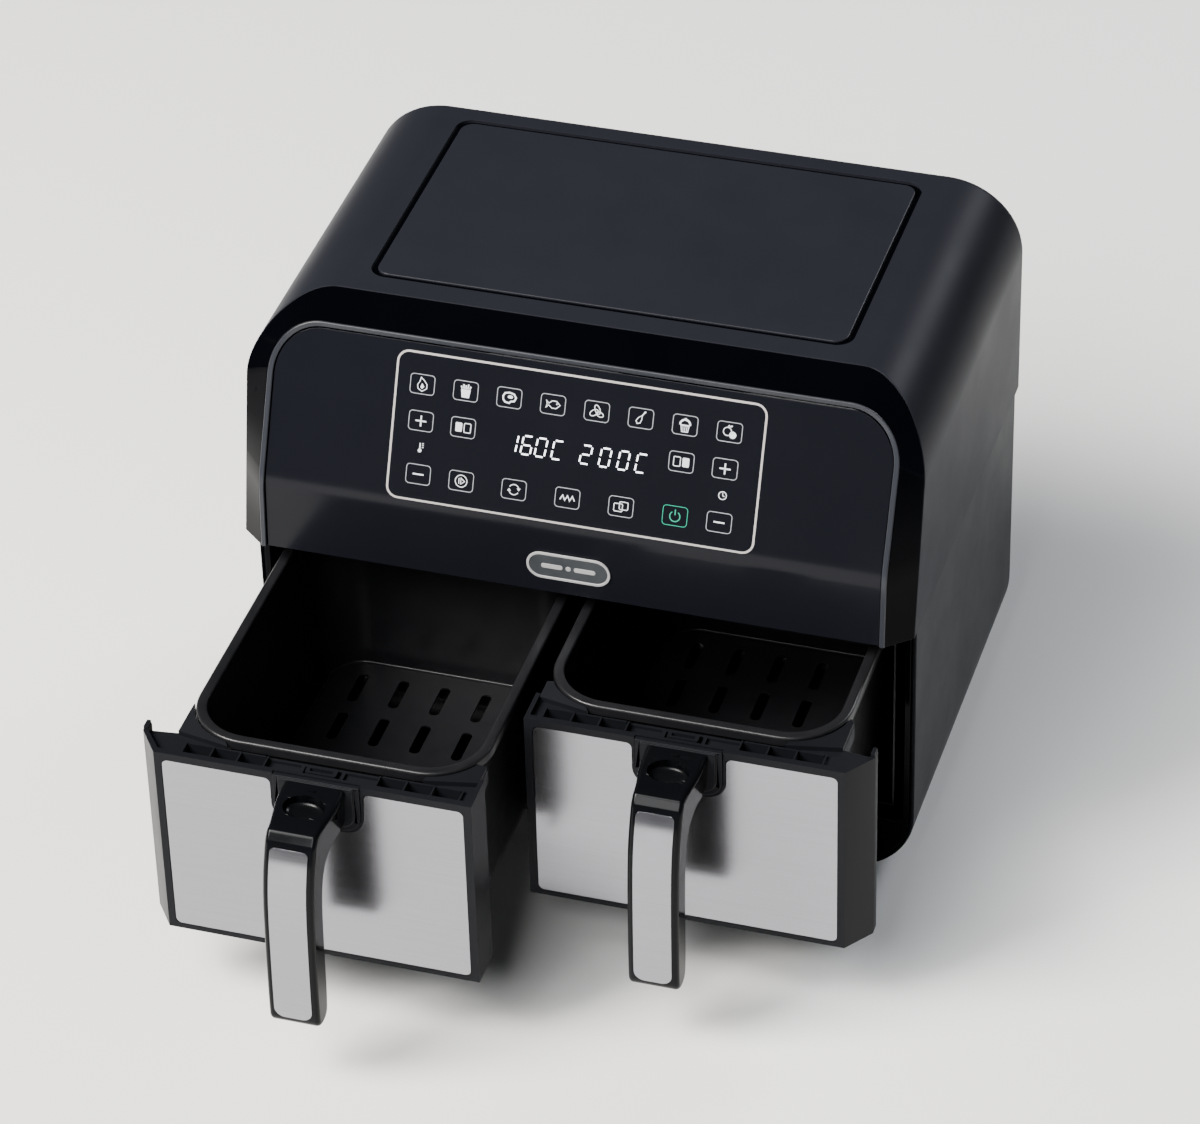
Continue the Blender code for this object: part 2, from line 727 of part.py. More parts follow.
def plate_outline(side, grow):
    inner = drawer_inner_x + 0.0048 - drawer_x - grow
    outer = half_width - 0.0163 - drawer_x + grow
    low, high = plate_low_z - grow, plate_top_z + grow
    radius = 0.0035
    bend = 0.012
    half = notch_half_width - grow
    outline = (
        arc((outer - radius, low + radius), radius, -90, 0, 3)
        + arc((outer - radius, high - radius), radius, 0, 90, 3)
        + arc((half + radius, high - radius), radius, 90, 180, 3)
        + arc((half - bend, notch_low_z + bend), bend, 0, -90, 5)
        + arc((-half + bend, notch_low_z + bend), bend, -90, -180, 5)
        + arc((-half - radius, high - radius), radius, 0, 90, 3)
        + arc((inner + radius, high - radius), radius, 90, 180, 3)
        + arc((inner + radius, low + radius), radius, 180, 270, 3)
    )
    return [(side * x, z) for x, z in outline]


def insert_outline(grow, top):
    half = notch_half_width - 0.0018 + grow
    low = notch_low_z + 0.0018 - grow
    bend = 0.011
    return (
        [(half, top)]
        + arc((half - bend, low + bend), bend, 0, -90, 5)
        + arc((-half + bend, low + bend), bend, -90, -180, 5)
        + [(-half, top)]
    )


def build_handle(name, drawer):
    """The neck leaves the insert, slopes forward and turns down into the grip."""
    grip = [
        (-0.0013, 0.1696),
        (-0.0330, 0.1664),
        (-0.0410, 0.1640),
        (-0.0452, 0.1580),
        (-0.0500, 0.1460),
        (-0.0532, 0.1330),
        (-0.0552, 0.0950),
        (-0.0560, 0.0500),
        (-0.0545, 0.0450),
        (-0.0500, 0.0425),
        (-0.0430, 0.0440),
        (-0.0395, 0.0490),
        (-0.0385, 0.0950),
        (-0.0365, 0.1260),
        (-0.0310, 0.1395),
        (-0.0200, 0.1450),
        (-0.0013, 0.1455),
    ]
    half = handle_half_width
    rows = []
    for x, inward in ((-half, 0.0026), (-half + 0.0009, 0.0009), (-half + 0.0027, 0)):
        rows.append([(x, y, z) for y, z in offset_outline(grip, inward)])
    rows += [[(-x, y, z) for x, y, z in row] for row in reversed(rows)]
    handle = skin(
        f"handle_{name}", rows, gloss_black, drawer, closed=True, cap_first=True, cap_last=True
    )

    # The thumb button's well, with room below it for the spring and the travel
    well_y = -0.0195
    well = plate(f"well_{name}", [oval(0.0098, 0.0078, well_y)], "XY", 0.1530, 0.18, None, drawer)
    combine(handle, well)
    screw_z = 0.1500
    bore = cylinder(f"screw_bore_{name}", (0, -0.0115, screw_z), (0, 0.01, screw_z), 0.0021, None, drawer, 10)
    combine(handle, bore)

    inlay_face = [(y, z) for y, z in grip if z > 0.0480 and y < -0.0440 and z < 0.1600]
    half_inlay = 0.0108
    rows = [[(-half_inlay, y - gap, z), (half_inlay, y - gap, z)] for y, z in inlay_face]
    thicken(skin(f"handle_inlay_{name}", rows, steel, drawer), 0.0008, 1)

    insert = plate(
        f"handle_insert_{name}",
        [insert_outline(0, drawer_top_z - 0.0006)],
        "XZ",
        -0.0010,
        0.0019,
        satin_black,
        drawer,
    )
    ends = ((0, -0.0100, screw_z), (0, 0.0100, screw_z))
    hole = cylinder(f"insert_bore_{name}", *ends, 0.0021, None, drawer, 10)
    combine(insert, hole)
    front = bpy.data.objects[f"drawer_front_{name}"]
    combine(front, hole)
    ends = ((0, -0.0110, screw_z), (0, 0.0045, screw_z))
    screw = cylinder(f"handle_screw_{name}", *ends, 0.0018, sheet_metal, drawer, 10)
    ends = ((0, 0.0043, screw_z), (0, 0.0068, screw_z))
    head = cylinder(f"screw_head_{name}", *ends, 0.0038, None, drawer, 12)
    combine(screw, head, "UNION")

    button = add_empty(f"button_{name}", (0, well_y, 0.1600), drawer)
    outline = oval(0.0094, 0.0074, 0)
    cap = plate(f"thumb_button_{name}", [outline], "XY", 0.0010, 0.0070, gloss_black, button)
    round_edges(cap, 0.0008, 2, 60)
    route = []
    turns = 3
    for i in range(turns * 8 + 1):
        angle = 2 * math.pi * i / 8
        rise = 0.1537 + 0.0064 * i / (turns * 8)
        route.append((0.0036 * math.cos(angle), well_y + 0.0036 * math.sin(angle), rise))
    tube(f"button_spring_{name}", route, 0.0004, sheet_metal, drawer, 0)


def oval(half_x, half_y, centre_y):
    angles = [math.pi * i / 10 for i in range(20)]
    return [(half_x * math.cos(a), centre_y + half_y * math.sin(a)) for a in angles]


def build_drawer(side, name, pull, root):
    """Everything that slides out together, in the place where the drawer stands pulled out."""
    drawer = add_empty(f"drawer_{name}", (side * drawer_x, -pull, 0), root)
    build_front(side, name, drawer)
    plate(f"steel_plate_{name}", [plate_outline(side, 0)], "XZ", 0.0002, 0.0010, steel, drawer)
    build_handle(name, drawer)
    build_basket(name, drawer)
    build_crisper(name, drawer)


def build_air_fryer():
    root = add_empty("air_fryer_frame", (0, front_y, 0))
    build_top_shell(root)
    build_bezel(root)
    build_control_panel(root)
    build_badge(root)
    build_lower_shell(root)
    build_bay_frame(root)
    build_rear_cover(root)
    build_base(root)
    build_mid_plate(root)
    build_electrics(root)
    for side, name, pull in ((-1, "left", left_pull), (1, "right", right_pull)):
        build_bay(side, name, root)
        build_heater(side, name, root)
        build_motor(side, name, root)
        build_fan(side, name, root)
        build_drawer(side, name, pull, root)


build_air_fryer()
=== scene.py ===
import math
import bpy
from mathutils import Matrix, Vector


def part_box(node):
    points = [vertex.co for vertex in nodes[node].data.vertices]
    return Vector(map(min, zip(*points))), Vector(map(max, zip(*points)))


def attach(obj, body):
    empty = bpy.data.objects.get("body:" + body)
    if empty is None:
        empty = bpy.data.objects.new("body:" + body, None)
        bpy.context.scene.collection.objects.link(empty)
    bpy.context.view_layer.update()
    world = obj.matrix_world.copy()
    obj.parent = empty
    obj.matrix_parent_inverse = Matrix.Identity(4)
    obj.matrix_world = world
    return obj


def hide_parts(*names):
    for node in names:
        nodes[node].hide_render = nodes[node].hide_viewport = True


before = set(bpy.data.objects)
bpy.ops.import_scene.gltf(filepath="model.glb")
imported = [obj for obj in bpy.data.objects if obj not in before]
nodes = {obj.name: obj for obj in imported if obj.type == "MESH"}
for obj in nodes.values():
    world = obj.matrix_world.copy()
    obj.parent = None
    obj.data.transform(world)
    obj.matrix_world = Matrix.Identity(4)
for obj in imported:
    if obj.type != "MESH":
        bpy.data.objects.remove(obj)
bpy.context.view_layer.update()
print("frame loaded:", len(nodes), "CAD nodes")

# all lengths are metres; "back" is the distance behind the closed drawers' face
body = {"half": 0.195, "top": 0.3254, "depth": 0.2694, "corner": 0.044, "seam": 0.1881, "wall": 0.0025,
        "gap": 0.0003, "cornerSteps": 22}
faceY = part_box("top_shell")[1].y - body["depth"]
rearY = faceY + body["depth"]
past = 0.01  # a cutter reaches this far past the surface that it cuts
sides = {"left": -1, "right": 1}


# small tools

def deselect():
    if bpy.context.mode != "OBJECT":
        bpy.ops.object.mode_set(mode="OBJECT")
    bpy.ops.object.select_all(action="DESELECT")


def pick(obj):
    deselect()
    obj.select_set(True)
    bpy.context.view_layer.objects.active = obj
    return obj


def edit(obj, chosen="ALL"):
    pick(obj)
    bpy.ops.object.mode_set(mode="EDIT")
    bpy.ops.mesh.select_mode(type="FACE")
    bpy.ops.mesh.select_all(action="SELECT" if chosen == "ALL" else "DESELECT")


def applyAll(obj):
    pick(obj)
    for modifier in list(obj.modifiers):
        bpy.ops.object.modifier_apply(modifier=modifier.name)
    return obj


def arc(centre, radius, start, end, count):
    angles = [math.radians(start + (end - start) * i / count) for i in range(count + 1)]
    return [(centre[0] + radius * math.cos(a), centre[1] + radius * math.sin(a)) for a in angles]


def circle(radius, count):
    angles = [2 * math.pi * i / count for i in range(count)]
    return [(radius * math.cos(a), radius * math.sin(a)) for a in angles]


def roundedBox(low, high, radius, count=6):
    left, front, right, rear = low[0] + radius, low[1] + radius, high[0] - radius, high[1] - radius
    corners = ((right, front), (right, rear), (left, rear), (left, front))
    return [place for i, corner in enumerate(corners)
            for place in arc(corner, radius, 90 * i - 90, 90 * i, count)]


def drape(name, rows, closed=False, capFirst=False, capLast=False):
    # a grid primitive laid over rows of points; a closed row joins its own ends
    if closed:
        rows = [list(row) + [row[0]] for row in rows]
    deselect()
    bpy.ops.mesh.primitive_grid_add(x_subdivisions=len(rows[0]) - 1, y_subdivisions=len(rows) - 1, size=1)
    obj = bpy.context.object
    obj.name = obj.data.name = name
    places = [place for row in rows for place in row]
    for vertex, place in zip(obj.data.vertices, places):
        vertex.co = place
    width = len(rows[0])
    for wanted, chosen in ((capFirst, range(width)), (capLast, range(len(places) - width, len(places)))):
        if not wanted:
            continue
        edit(obj, "NONE")
        bpy.ops.mesh.select_mode(type="VERT")
        bpy.ops.object.mode_set(mode="OBJECT")
        for i in chosen:
            obj.data.vertices[i].select = True
        bpy.ops.object.mode_set(mode="EDIT")
        bpy.ops.mesh.edge_face_add()
    edit(obj)
    bpy.ops.mesh.remove_doubles(threshold=1e-6)
    bpy.ops.mesh.normals_make_consistent(inside=False)
    deselect()
    return obj


planes = {"XY": lambda a, b, c: (a, b, c), "XZ": lambda a, b, c: (a, c, b), "YZ": lambda a, b, c: (c, a, b)}


def slab(name, outline, plane, low, high):
    # a filled circle primitive takes the outline's shape and is extruded to its thickness
    deselect()
    bpy.ops.mesh.primitive_circle_add(vertices=len(outline), fill_type="NGON")
    obj = bpy.context.object
    obj.name = obj.data.name = name
    for vertex, (a, b) in zip(obj.data.vertices, outline):
        vertex.co = planes[plane](a, b, low)
    edit(obj)
    bpy.ops.mesh.extrude_region_move(TRANSFORM_OT_translate={"value": planes[plane](0, 0, high - low)})
    bpy.ops.mesh.select_all(action="SELECT")
    bpy.ops.mesh.normals_make_consistent(inside=False)
    deselect()
    return obj


def combine(obj, other, operation="DIFFERENCE"):
    modifier = obj.modifiers.new("Boolean", "BOOLEAN")
    modifier.operation = operation
    modifier.solver = "EXACT"
    modifier.object = other
    applyAll(obj)
    bpy.data.objects.remove(other)
    return obj


def thicken(obj, thickness, offset=-1):
    modifier = obj.modifiers.new("Solidify", "SOLIDIFY")
    modifier.thickness = thickness
    modifier.offset = offset
    modifier.use_even_offset = True
    return applyAll(obj)


def soften(obj, width, segments=3, angle=30, smooth=40):
    # small radii on the sharp edges, then normals that keep the flats flat
    if width:
        modifier = obj.modifiers.new("Bevel", "BEVEL")
        modifier.width = width
        modifier.segments = segments
        modifier.limit_method = "ANGLE"
        modifier.angle_limit = math.radians(angle)
        modifier.use_clamp_overlap = True
        applyAll(obj)
    pick(obj)
    bpy.ops.object.shade_smooth_by_angle(angle=math.radians(smooth))
    modifier = obj.modifiers.new("Weighted normals", "WEIGHTED_NORMAL")
    modifier.keep_sharp = True
    applyAll(obj)
    return obj


def join(name, pieces):
    deselect()
    for piece in pieces:
        piece.select_set(True)
    bpy.context.view_layer.objects.active = pieces[0]
    if len(pieces) > 1:
        bpy.ops.object.join()
    pieces[0].name = pieces[0].data.name = name
    return pieces[0]


def move(obj, offset):
    # shifts the mesh and leaves the object at the origin
    obj.data.transform(Matrix.Translation(offset))
    return obj


def finish(obj, material, bodyName, slotName, *replaced):
    obj.data.materials.clear()
    obj.data.materials.append(material)
    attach(obj, bodyName)
    if replaced:
        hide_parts(*replaced)
    return obj


# materials

def linear(hexColor):
    channels = [int(hexColor[i:i + 2], 16) / 255 for i in (1, 3, 5)]
    return (*[c / 12.92 if c <= 0.04045 else ((c + 0.055) / 1.055) ** 2.4 for c in channels], 1)


def addNode(tree, kind, settings={}, links={}):
    node = tree.nodes.new(kind)
    for key, value in settings.items():
        if isinstance(key, int) or key in node.inputs:
            node.inputs[key].default_value = value
        else:
            setattr(node, key, value)
    for key, source in links.items():
        tree.links.new(source, node.inputs[key])
    return node


def newMaterial(name, settings):
    material = bpy.data.materials.new(name)
    material.use_nodes = True
    tree = material.node_tree
    shader = tree.nodes["Principled BSDF"]
    for key, value in settings.items():
        shader.inputs[key].default_value = value
    place = addNode(tree, "ShaderNodeTexCoord").outputs["Object"]
    return material, tree, shader, place


def weather(tree, shader, colours, roughness, pattern, height, depth):
    # one pattern varies colour and roughness, and a height gives the relief
    tint = addNode(tree, "ShaderNodeMix", {"data_type": "RGBA", 6: linear(colours[0]), 7: linear(colours[1])},
                   {0: pattern})
    shine = addNode(tree, "ShaderNodeMapRange", {"From Min": 0.3, "From Max": 0.7, "To Min": roughness[0],
                                                "To Max": roughness[1]}, {"Value": pattern})
    relief = addNode(tree, "ShaderNodeBump", {"Strength": 1.0, "Distance": depth}, {"Height": height})
    tree.links.new(tint.outputs[2], shader.inputs["Base Color"])
    tree.links.new(shine.outputs[0], shader.inputs["Roughness"])
    tree.links.new(relief.outputs[0], shader.inputs["Normal"])


def surface(name, settings, colours, roughness, patchSize, grainSize, grainDepth):
    # slow patches vary colour and roughness; a fine grain gives the relief. Sizes are metres.
    material, tree, shader, place = newMaterial(name, settings)
    patches = addNode(tree, "ShaderNodeTexNoise", {"Scale": 1 / patchSize, "Detail": 4, "Roughness": 0.6},
                      {"Vector": place})
    grain = addNode(tree, "ShaderNodeTexNoise", {"Scale": 1 / grainSize, "Detail": 2, "Roughness": 0.5},
                    {"Vector": place})
    weather(tree, shader, colours, roughness, patches.outputs["Fac"], grain.outputs["Fac"], grainDepth)
    return material


# spark-eroded ABS: a fine satin skin, near-black with a little navy; the 0.35 mm grain is drawn at 0.7 mm
absSatin = surface("moulded ABS, satin navy-black", {"IOR": 1.1},
                   ("#191a1f", "#1d1e24"), (0.36, 0.42), 0.06, 0.0007, 0.00002)
# the lid panel is moulded a little smoother than the shell around it
absLid = surface("moulded ABS, fine satin", {"IOR": 1.2}, ("#191a1f", "#1d1e24"), (0.32, 0.38),
                 0.06, 0.0007, 0.00001)
# the lower tub is the same ABS in a slightly flatter black
absLower = surface("moulded ABS, satin black", {"IOR": 1.14}, ("#141619", "#181a1e"), (0.38, 0.46),
                   0.06, 0.0007, 0.000012)
# drawer fronts: moulded ABS, a little duller
absDrawer = surface("moulded ABS, satin black", {"IOR": 1.15}, ("#101114", "#151619"), (0.32, 0.38),
                    0.05, 0.0006, 0.000012)
# piano-black ABS: polished mould, mirror-like, with a slow ripple from the moulding
absGloss = surface("polished ABS, piano black", {"IOR": 1.11},
                   ("#020204", "#030406"), (0.05, 0.09), 0.05, 0.045, 0.00004)
# touch panel: printed polycarbonate film over ABS, dark navy under a clear gloss
panelFilm = surface("polycarbonate touch film", {"IOR": 1.22},
                    ("#0e0f14", "#121318"), (0.14, 0.18), 0.08, 0.05, 0.00003)
# handles: polished ABS, fine scratches show as soft roughness patches
absHandle = surface("polished ABS, handle black", {"IOR": 1.18},
                    ("#060709", "#0a0b0d"), (0.10, 0.16), 0.03, 0.03, 0.00003)
# thumb buttons: the same ABS with a fine matt moulding, so the dish shows only a soft crescent
absButton = surface("moulded ABS, button black", {"IOR": 1.22}, ("#060708", "#090a0c"), (0.24, 0.3),
                    0.02, 0.0006, 0.000006)
# baked PTFE coating on aluminium: satin black, faint sparkle of the primer
nonStick = surface("PTFE non-stick coating", {"IOR": 1.38}, ("#101113", "#1a1a1c"), (0.28, 0.36), 0.012,
                   0.0009, 0.00002)
# aluminised steel of the bays: dull grey metal with spangle
aluminised = surface("aluminised steel", {"Metallic": 1.0}, ("#6d6e70", "#858687"), (0.38, 0.52), 0.012,
                     0.002, 0.00002)
# oxidised stainless heater tube
heaterSteel = surface("oxidised stainless tube", {"Metallic": 1.0}, ("#4b4540", "#6a6158"), (0.35, 0.5),
                      0.008, 0.0008, 0.00002)
bareSteel = surface("zinc-plated steel", {"Metallic": 1.0}, ("#8c8e90", "#a2a4a5"), (0.3, 0.42), 0.01,
                    0.0006, 0.00001)
nylon = surface("moulded nylon, black", {"IOR": 1.53}, ("#141414", "#1b1b1b"), (0.45, 0.6), 0.02, 0.0006,
                0.00002)
solderMask = surface("glass-epoxy board, green mask", {"IOR": 1.5}, ("#0f3d20", "#154a29"), (0.35, 0.5), 0.02,
                     0.001, 0.00003)
siliconeRubber = surface("silicone rubber, black", {"IOR": 1.41}, ("#161616", "#1d1d1d"), (0.6, 0.75), 0.01,
                         0.0005, 0.00003)
# the strip round the touch panel: satin ABS that catches a thin line of light on each edge
absStrip = surface("moulded ABS, satin strip", {"IOR": 1.28}, ("#26282d", "#2c2e33"), (0.2, 0.26),
                   0.05, 0.0006, 0.000006)
# raised rim and bars of the badge
silverPaint = surface("silver paint", {"Metallic": 0.2}, ("#a9a9aa", "#b6b6b7"), (0.35, 0.42),
                      0.01, 0.0005, 0.000006)
# badge: satin grey lacquer on a zinc plate
badgeGrey = surface("satin lacquered zinc", {"Metallic": 0.6}, ("#4c5054", "#5b5f63"), (0.3, 0.38), 0.01,
                    0.0006, 0.00001)


grindMarks = {"along": 0.09, "across": 0.00035, "depth": 0.0000022}


def brushed(name, colours, roughness):
    # 430 stainless, ground with a belt along X: streaks 90 mm long and 0.35 mm wide
    material, tree, shader, place = newMaterial(name, {"Metallic": 1.0, "Anisotropic": 0.55})
    along, across = 1 / grindMarks["along"], 1 / grindMarks["across"]
    grind = addNode(tree, "ShaderNodeMapping", {"Scale": (along, across, across)}, {"Vector": place})
    streaks = addNode(tree, "ShaderNodeTexNoise", {"Scale": 1.0, "Detail": 3, "Roughness": 0.65},
                      {"Vector": grind.outputs[0]})
    pattern = streaks.outputs["Fac"]
    weather(tree, shader, colours, roughness, pattern, pattern, grindMarks["depth"])
    return material


stainless = brushed("brushed stainless steel", ("#828288", "#96969b"), (0.15, 0.19))


def glowing(name, hexColor, strength):
    # printed symbols that glow: the backlit ones are lit from behind by white LEDs, and the silver ink's
    # faint glow is painted light
    colour = linear(hexColor)
    return newMaterial(name, {"Base Color": colour, "Roughness": 0.35, "Emission Color": colour,
                              "Emission Strength": strength})[0]


# the silver outline ink is no lamp: its faint emission is a painted glow that lifts it
silverInkGlow = glowing("silver screen ink", "#a5a19f", 0.08)
frameInk = glowing("backlit print, dimmed", "#8e9197", 0.22)
symbolWhite = glowing("backlit print, white", "#c9ccd2", 0.45)
digitWhite = glowing("backlit display, white", "#f4f6ff", 2.2)
powerGreen = glowing("backlit print, green", "#12876b", 0.5)
print("materials made")

# camera, lights, floor

camera = {"place": (0.7258, -2.2148, 1.9436), "azimuth": 17.853, "elevation": 36.861, "roll": -1.670,
          "lens": 156.67, "sensor": 36}


def addCamera():
    azimuth, elevation, roll = [math.radians(camera[key]) for key in ("azimuth", "elevation", "roll")]
    back = Vector((math.sin(azimuth) * math.cos(elevation), -math.cos(azimuth) * math.cos(elevation),
                   math.sin(elevation)))
    right = Vector((math.cos(azimuth), math.sin(azimuth), 0))
    up = back.cross(right)
    turnedRight = math.cos(roll) * right + math.sin(roll) * up
    turnedUp = math.cos(roll) * up - math.sin(roll) * right
    turn = Matrix((turnedRight, turnedUp, back)).transposed()
    deselect()
    bpy.ops.object.camera_add(location=camera["place"], rotation=turn.to_euler())
    view = bpy.context.object
    view.name = "mainCamera"
    view.data.lens = camera["lens"]
    view.data.sensor_width = camera["sensor"]
    view.data.sensor_fit = "HORIZONTAL"
    view.data.clip_start, view.data.clip_end = 0.05, 50
    bpy.context.scene.camera = view


lights = {  # place, aimed-at point, size, power in watts, colour
    "keyLeft": ((-2.3, -1.8, 3.0), (0, 0, 0.1), (1.8, 1.8), 415, "#fffaf4"),
    "overhead": ((-1.3, -1.5, 3.2), (0, -0.4, 0.0), (1.8, 1.4), 120, "#ffffff"),
    "backRight": ((1.4, 2.65, 2.1), (0.2, 0.1, 0.3), (1.0, 0.9), 75, "#f4f8ff"),
    "frontFill": ((-0.3, -2.9, 2.7), (0.1, -0.3, 0.0), (1.6, 1.2), 80, "#ffffff"),
}


# the room is pale near the floor and dark overhead, so the gloss reads black
room = {"low": "#b9bdc4", "high": "#1b1d22", "rise": 0.55, "strength": 0.34}


def addLights():
    for name, (place, target, size, power, colour) in lights.items():
        deselect()
        bpy.ops.object.light_add(type="AREA", location=place)
        lamp = bpy.context.object
        lamp.name = name
        lamp.rotation_euler = (Vector(target) - Vector(place)).to_track_quat("-Z", "Y").to_euler()
        lamp.data.shape = "RECTANGLE"
        lamp.data.size, lamp.data.size_y = size
        lamp.data.energy = power
        lamp.data.color = linear(colour)[:3]
    world = bpy.data.worlds.new("studio")
    bpy.context.scene.world = world
    world.use_nodes = True
    tree = world.node_tree
    way = addNode(tree, "ShaderNodeTexCoord").outputs["Generated"]
    parts = addNode(tree, "ShaderNodeSeparateXYZ", {}, {0: way})
    ramp = addNode(tree, "ShaderNodeValToRGB", {}, {0: parts.outputs["Z"]})
    low, high = ramp.color_ramp.elements
    low.color = linear(room["low"])
    high.position = room["rise"]
    high.color = linear(room["high"])
    sky = tree.nodes["Background"]
    sky.inputs["Strength"].default_value = room["strength"]
    tree.links.new(ramp.outputs[0], sky.inputs["Color"])


def addFloor():
    deselect()
    bpy.ops.mesh.primitive_plane_add(size=16, location=(0, 2, 0))
    floor = bpy.context.object
    floor.name = "studioFloor"
    paper = newMaterial("studio paper", {"Base Color": linear("#f3f3f1"), "Roughness": 0.5})[0]
    floor.data.materials.append(paper)


addCamera()
addLights()
addFloor()
print("camera, lights and floor placed")

# upper body

upper = {"bendZ": 0.2317, "bendBack": 0.003, "bendSoft": 0.007, "panelTopZ": 0.3184, "panelTopBack": 0.0416,
         "chamfer": 0.0137, "border": 0.0034, "satinLow": 0.0115, "satinLean": 0.2, "satinTop": 0.0673,
         "backRadius": 0.009, "recess": 0.0008, "edgeRoll": ((0.0007, 0), (0.0002, 0.0002), (0, 0.0007))}
rearOpening = {"half": 0.1603, "low": 0.030, "high": 0.3003, "corner": 0.012,
               "upperFrom": 0.15, "lowerTo": 0.21}
groove = {"half": 0.1395, "front": 0.0825, "rear": 0.2520, "depth": 0.0021, "corner": 0.010, "gap": 0.0034}


def archAt(half, top, radius):
    # the section from its right foot over the top to its left foot, as (x, z, turn of the corner)
    bend, soft = upper["bendZ"], upper["bendSoft"]
    straight = [body["seam"], 0.203, 0.216] + [bend + soft * k / 4 for k in range(-4, 5)] + [0.250, 0.264]
    right = [(half, z, 0) for z in straight]
    count = body["cornerSteps"]
    shoulder = arc((half - radius, top - radius), radius, 0, 90, count)
    right += [(x, z, i / count) for i, (x, z) in enumerate(shoulder)]
    return right + [(-x, z, turn) for x, z, turn in reversed(right)]


def faceBack(z):
    # how far back the front face lies at this height, with a soft bend
    bend, soft = upper["bendZ"], upper["bendSoft"]
    lowSlope = upper["bendBack"] / (bend - body["seam"])
    highSlope = (upper["panelTopBack"] - upper["bendBack"]) / (upper["panelTopZ"] - bend)
    back = lowSlope * (z - body["seam"])
    if z > bend + soft:
        return back + (highSlope - lowSlope) * (z - bend)
    turn = max(0, (z - bend + soft) / (2 * soft))
    return back + (highSlope - lowSlope) * soft * turn * turn


def satinBack(z, turn):
    # where the satin shell begins
    if turn <= 0:
        return upper["satinLow"] + upper["satinLean"] * (z - body["seam"])
    start = upper["satinLow"] + upper["satinLean"] * (body["top"] - body["corner"] - body["seam"])
    return start + (upper["satinTop"] - start) * turn * turn * (3 - 2 * turn)


def drawnIn(outline, amount, centre):
    # shrinks the outline towards its centre, by this much at its widest and tallest
    centreX, centreZ = centre
    half = max(abs(x - centreX) for x, _ in outline)
    tall = max(abs(z - centreZ) for _, z in outline)
    return [(centreX + (x - centreX) * (1 - amount / half), centreZ + (z - centreZ) * (1 - amount / tall))
            for x, z in outline]


def roundedBack(outline, centre):
    rows = []
    radius = upper["backRadius"]
    for i in range(9):
        angle = math.radians(90 * i / 8)
        y = rearY - radius + radius * math.sin(angle)
        rows.append([(x, y, z) for x, z in drawnIn(outline, radius * (1 - math.cos(angle)), centre)])
    return rows


def cutRearOpening(shell, low, high):
    # each shell is cut a little past the seam, so that the two cuts meet as one opening
    half = rearOpening["half"]
    hole = roundedBox((-half, low), (half, high), rearOpening["corner"])
    combine(shell, slab("hole", hole, "XZ", rearY - 2 * past, rearY + past))


def makeTopShell():
    stations = archAt(body["half"], body["top"], body["corner"])
    outline = [(x, z) for x, z, _ in stations]
    rows = []
    for inward, extra in upper["edgeRoll"]:
        drawn = drawnIn(outline, inward, (0, body["seam"]))
        rows.append([(x, faceY + satinBack(height, turn) + body["gap"] + extra, z)
                     for (x, z), (_, height, turn) in zip(drawn, stations)])
    shell = drape("topShell", rows + roundedBack(outline, (0, body["seam"])), capLast=True)
    thicken(shell, body["wall"])
    half, front, rear = groove["half"], faceY + groove["front"], faceY + groove["rear"]
    pocket = roundedBox((-half, front), (half, rear), groove["corner"], 12)
    combine(shell, slab("pocket", pocket, "XY", body["top"] - groove["depth"], body["top"] + past))
    cutRearOpening(shell, rearOpening["upperFrom"], rearOpening["high"])
    soften(shell, 0.0004, 3, 45)
    finish(shell, absSatin, "housing", "shell_satin", "top_shell")
    gap = groove["gap"]
    outline = roundedBox((-half + gap, front + gap), (half - gap, rear - gap), groove["corner"] - 0.002, 12)
    lid = slab("topLidPanel", outline, "XY", body["top"] - groove["depth"] + body["gap"], body["top"])
    soften(lid, 0.0008, 4)
    finish(lid, absLid, "housing", "shell_satin", "top_lid_panel")
    # a dark glossy ring laid on the floor of the groove: painted shade, so the narrow groove reads as a black
    # line
    floor = body["top"] - groove["depth"]
    ring = slab("lidGroove", pocket, "XY", floor - 0.0001, floor + 0.0002)
    under = gap + 0.0004  # the ring ends just under the panel's edge
    middle = roundedBox((-half + under, front + under), (half - under, rear - under),
                        groove["corner"] - 0.003, 12)
    combine(ring, slab("middle", middle, "XY", floor - past, floor + past))
    finish(ring, absGloss, "housing", "shell_satin", "top_lid_panel")


bezelWall = {"edge": 0.0023, "line": 0.0015, "inner": 0.0016, "lip": 0.0045, "lineBack": 0.0030}
# the strip's section: how far across it, and how far behind the face
stripSection = ((0.03, 0.0006), (0.03, -0.0002), (0.16, -0.0007),
                (0.84, -0.0007), (0.97, -0.0002), (0.97, 0.0006))


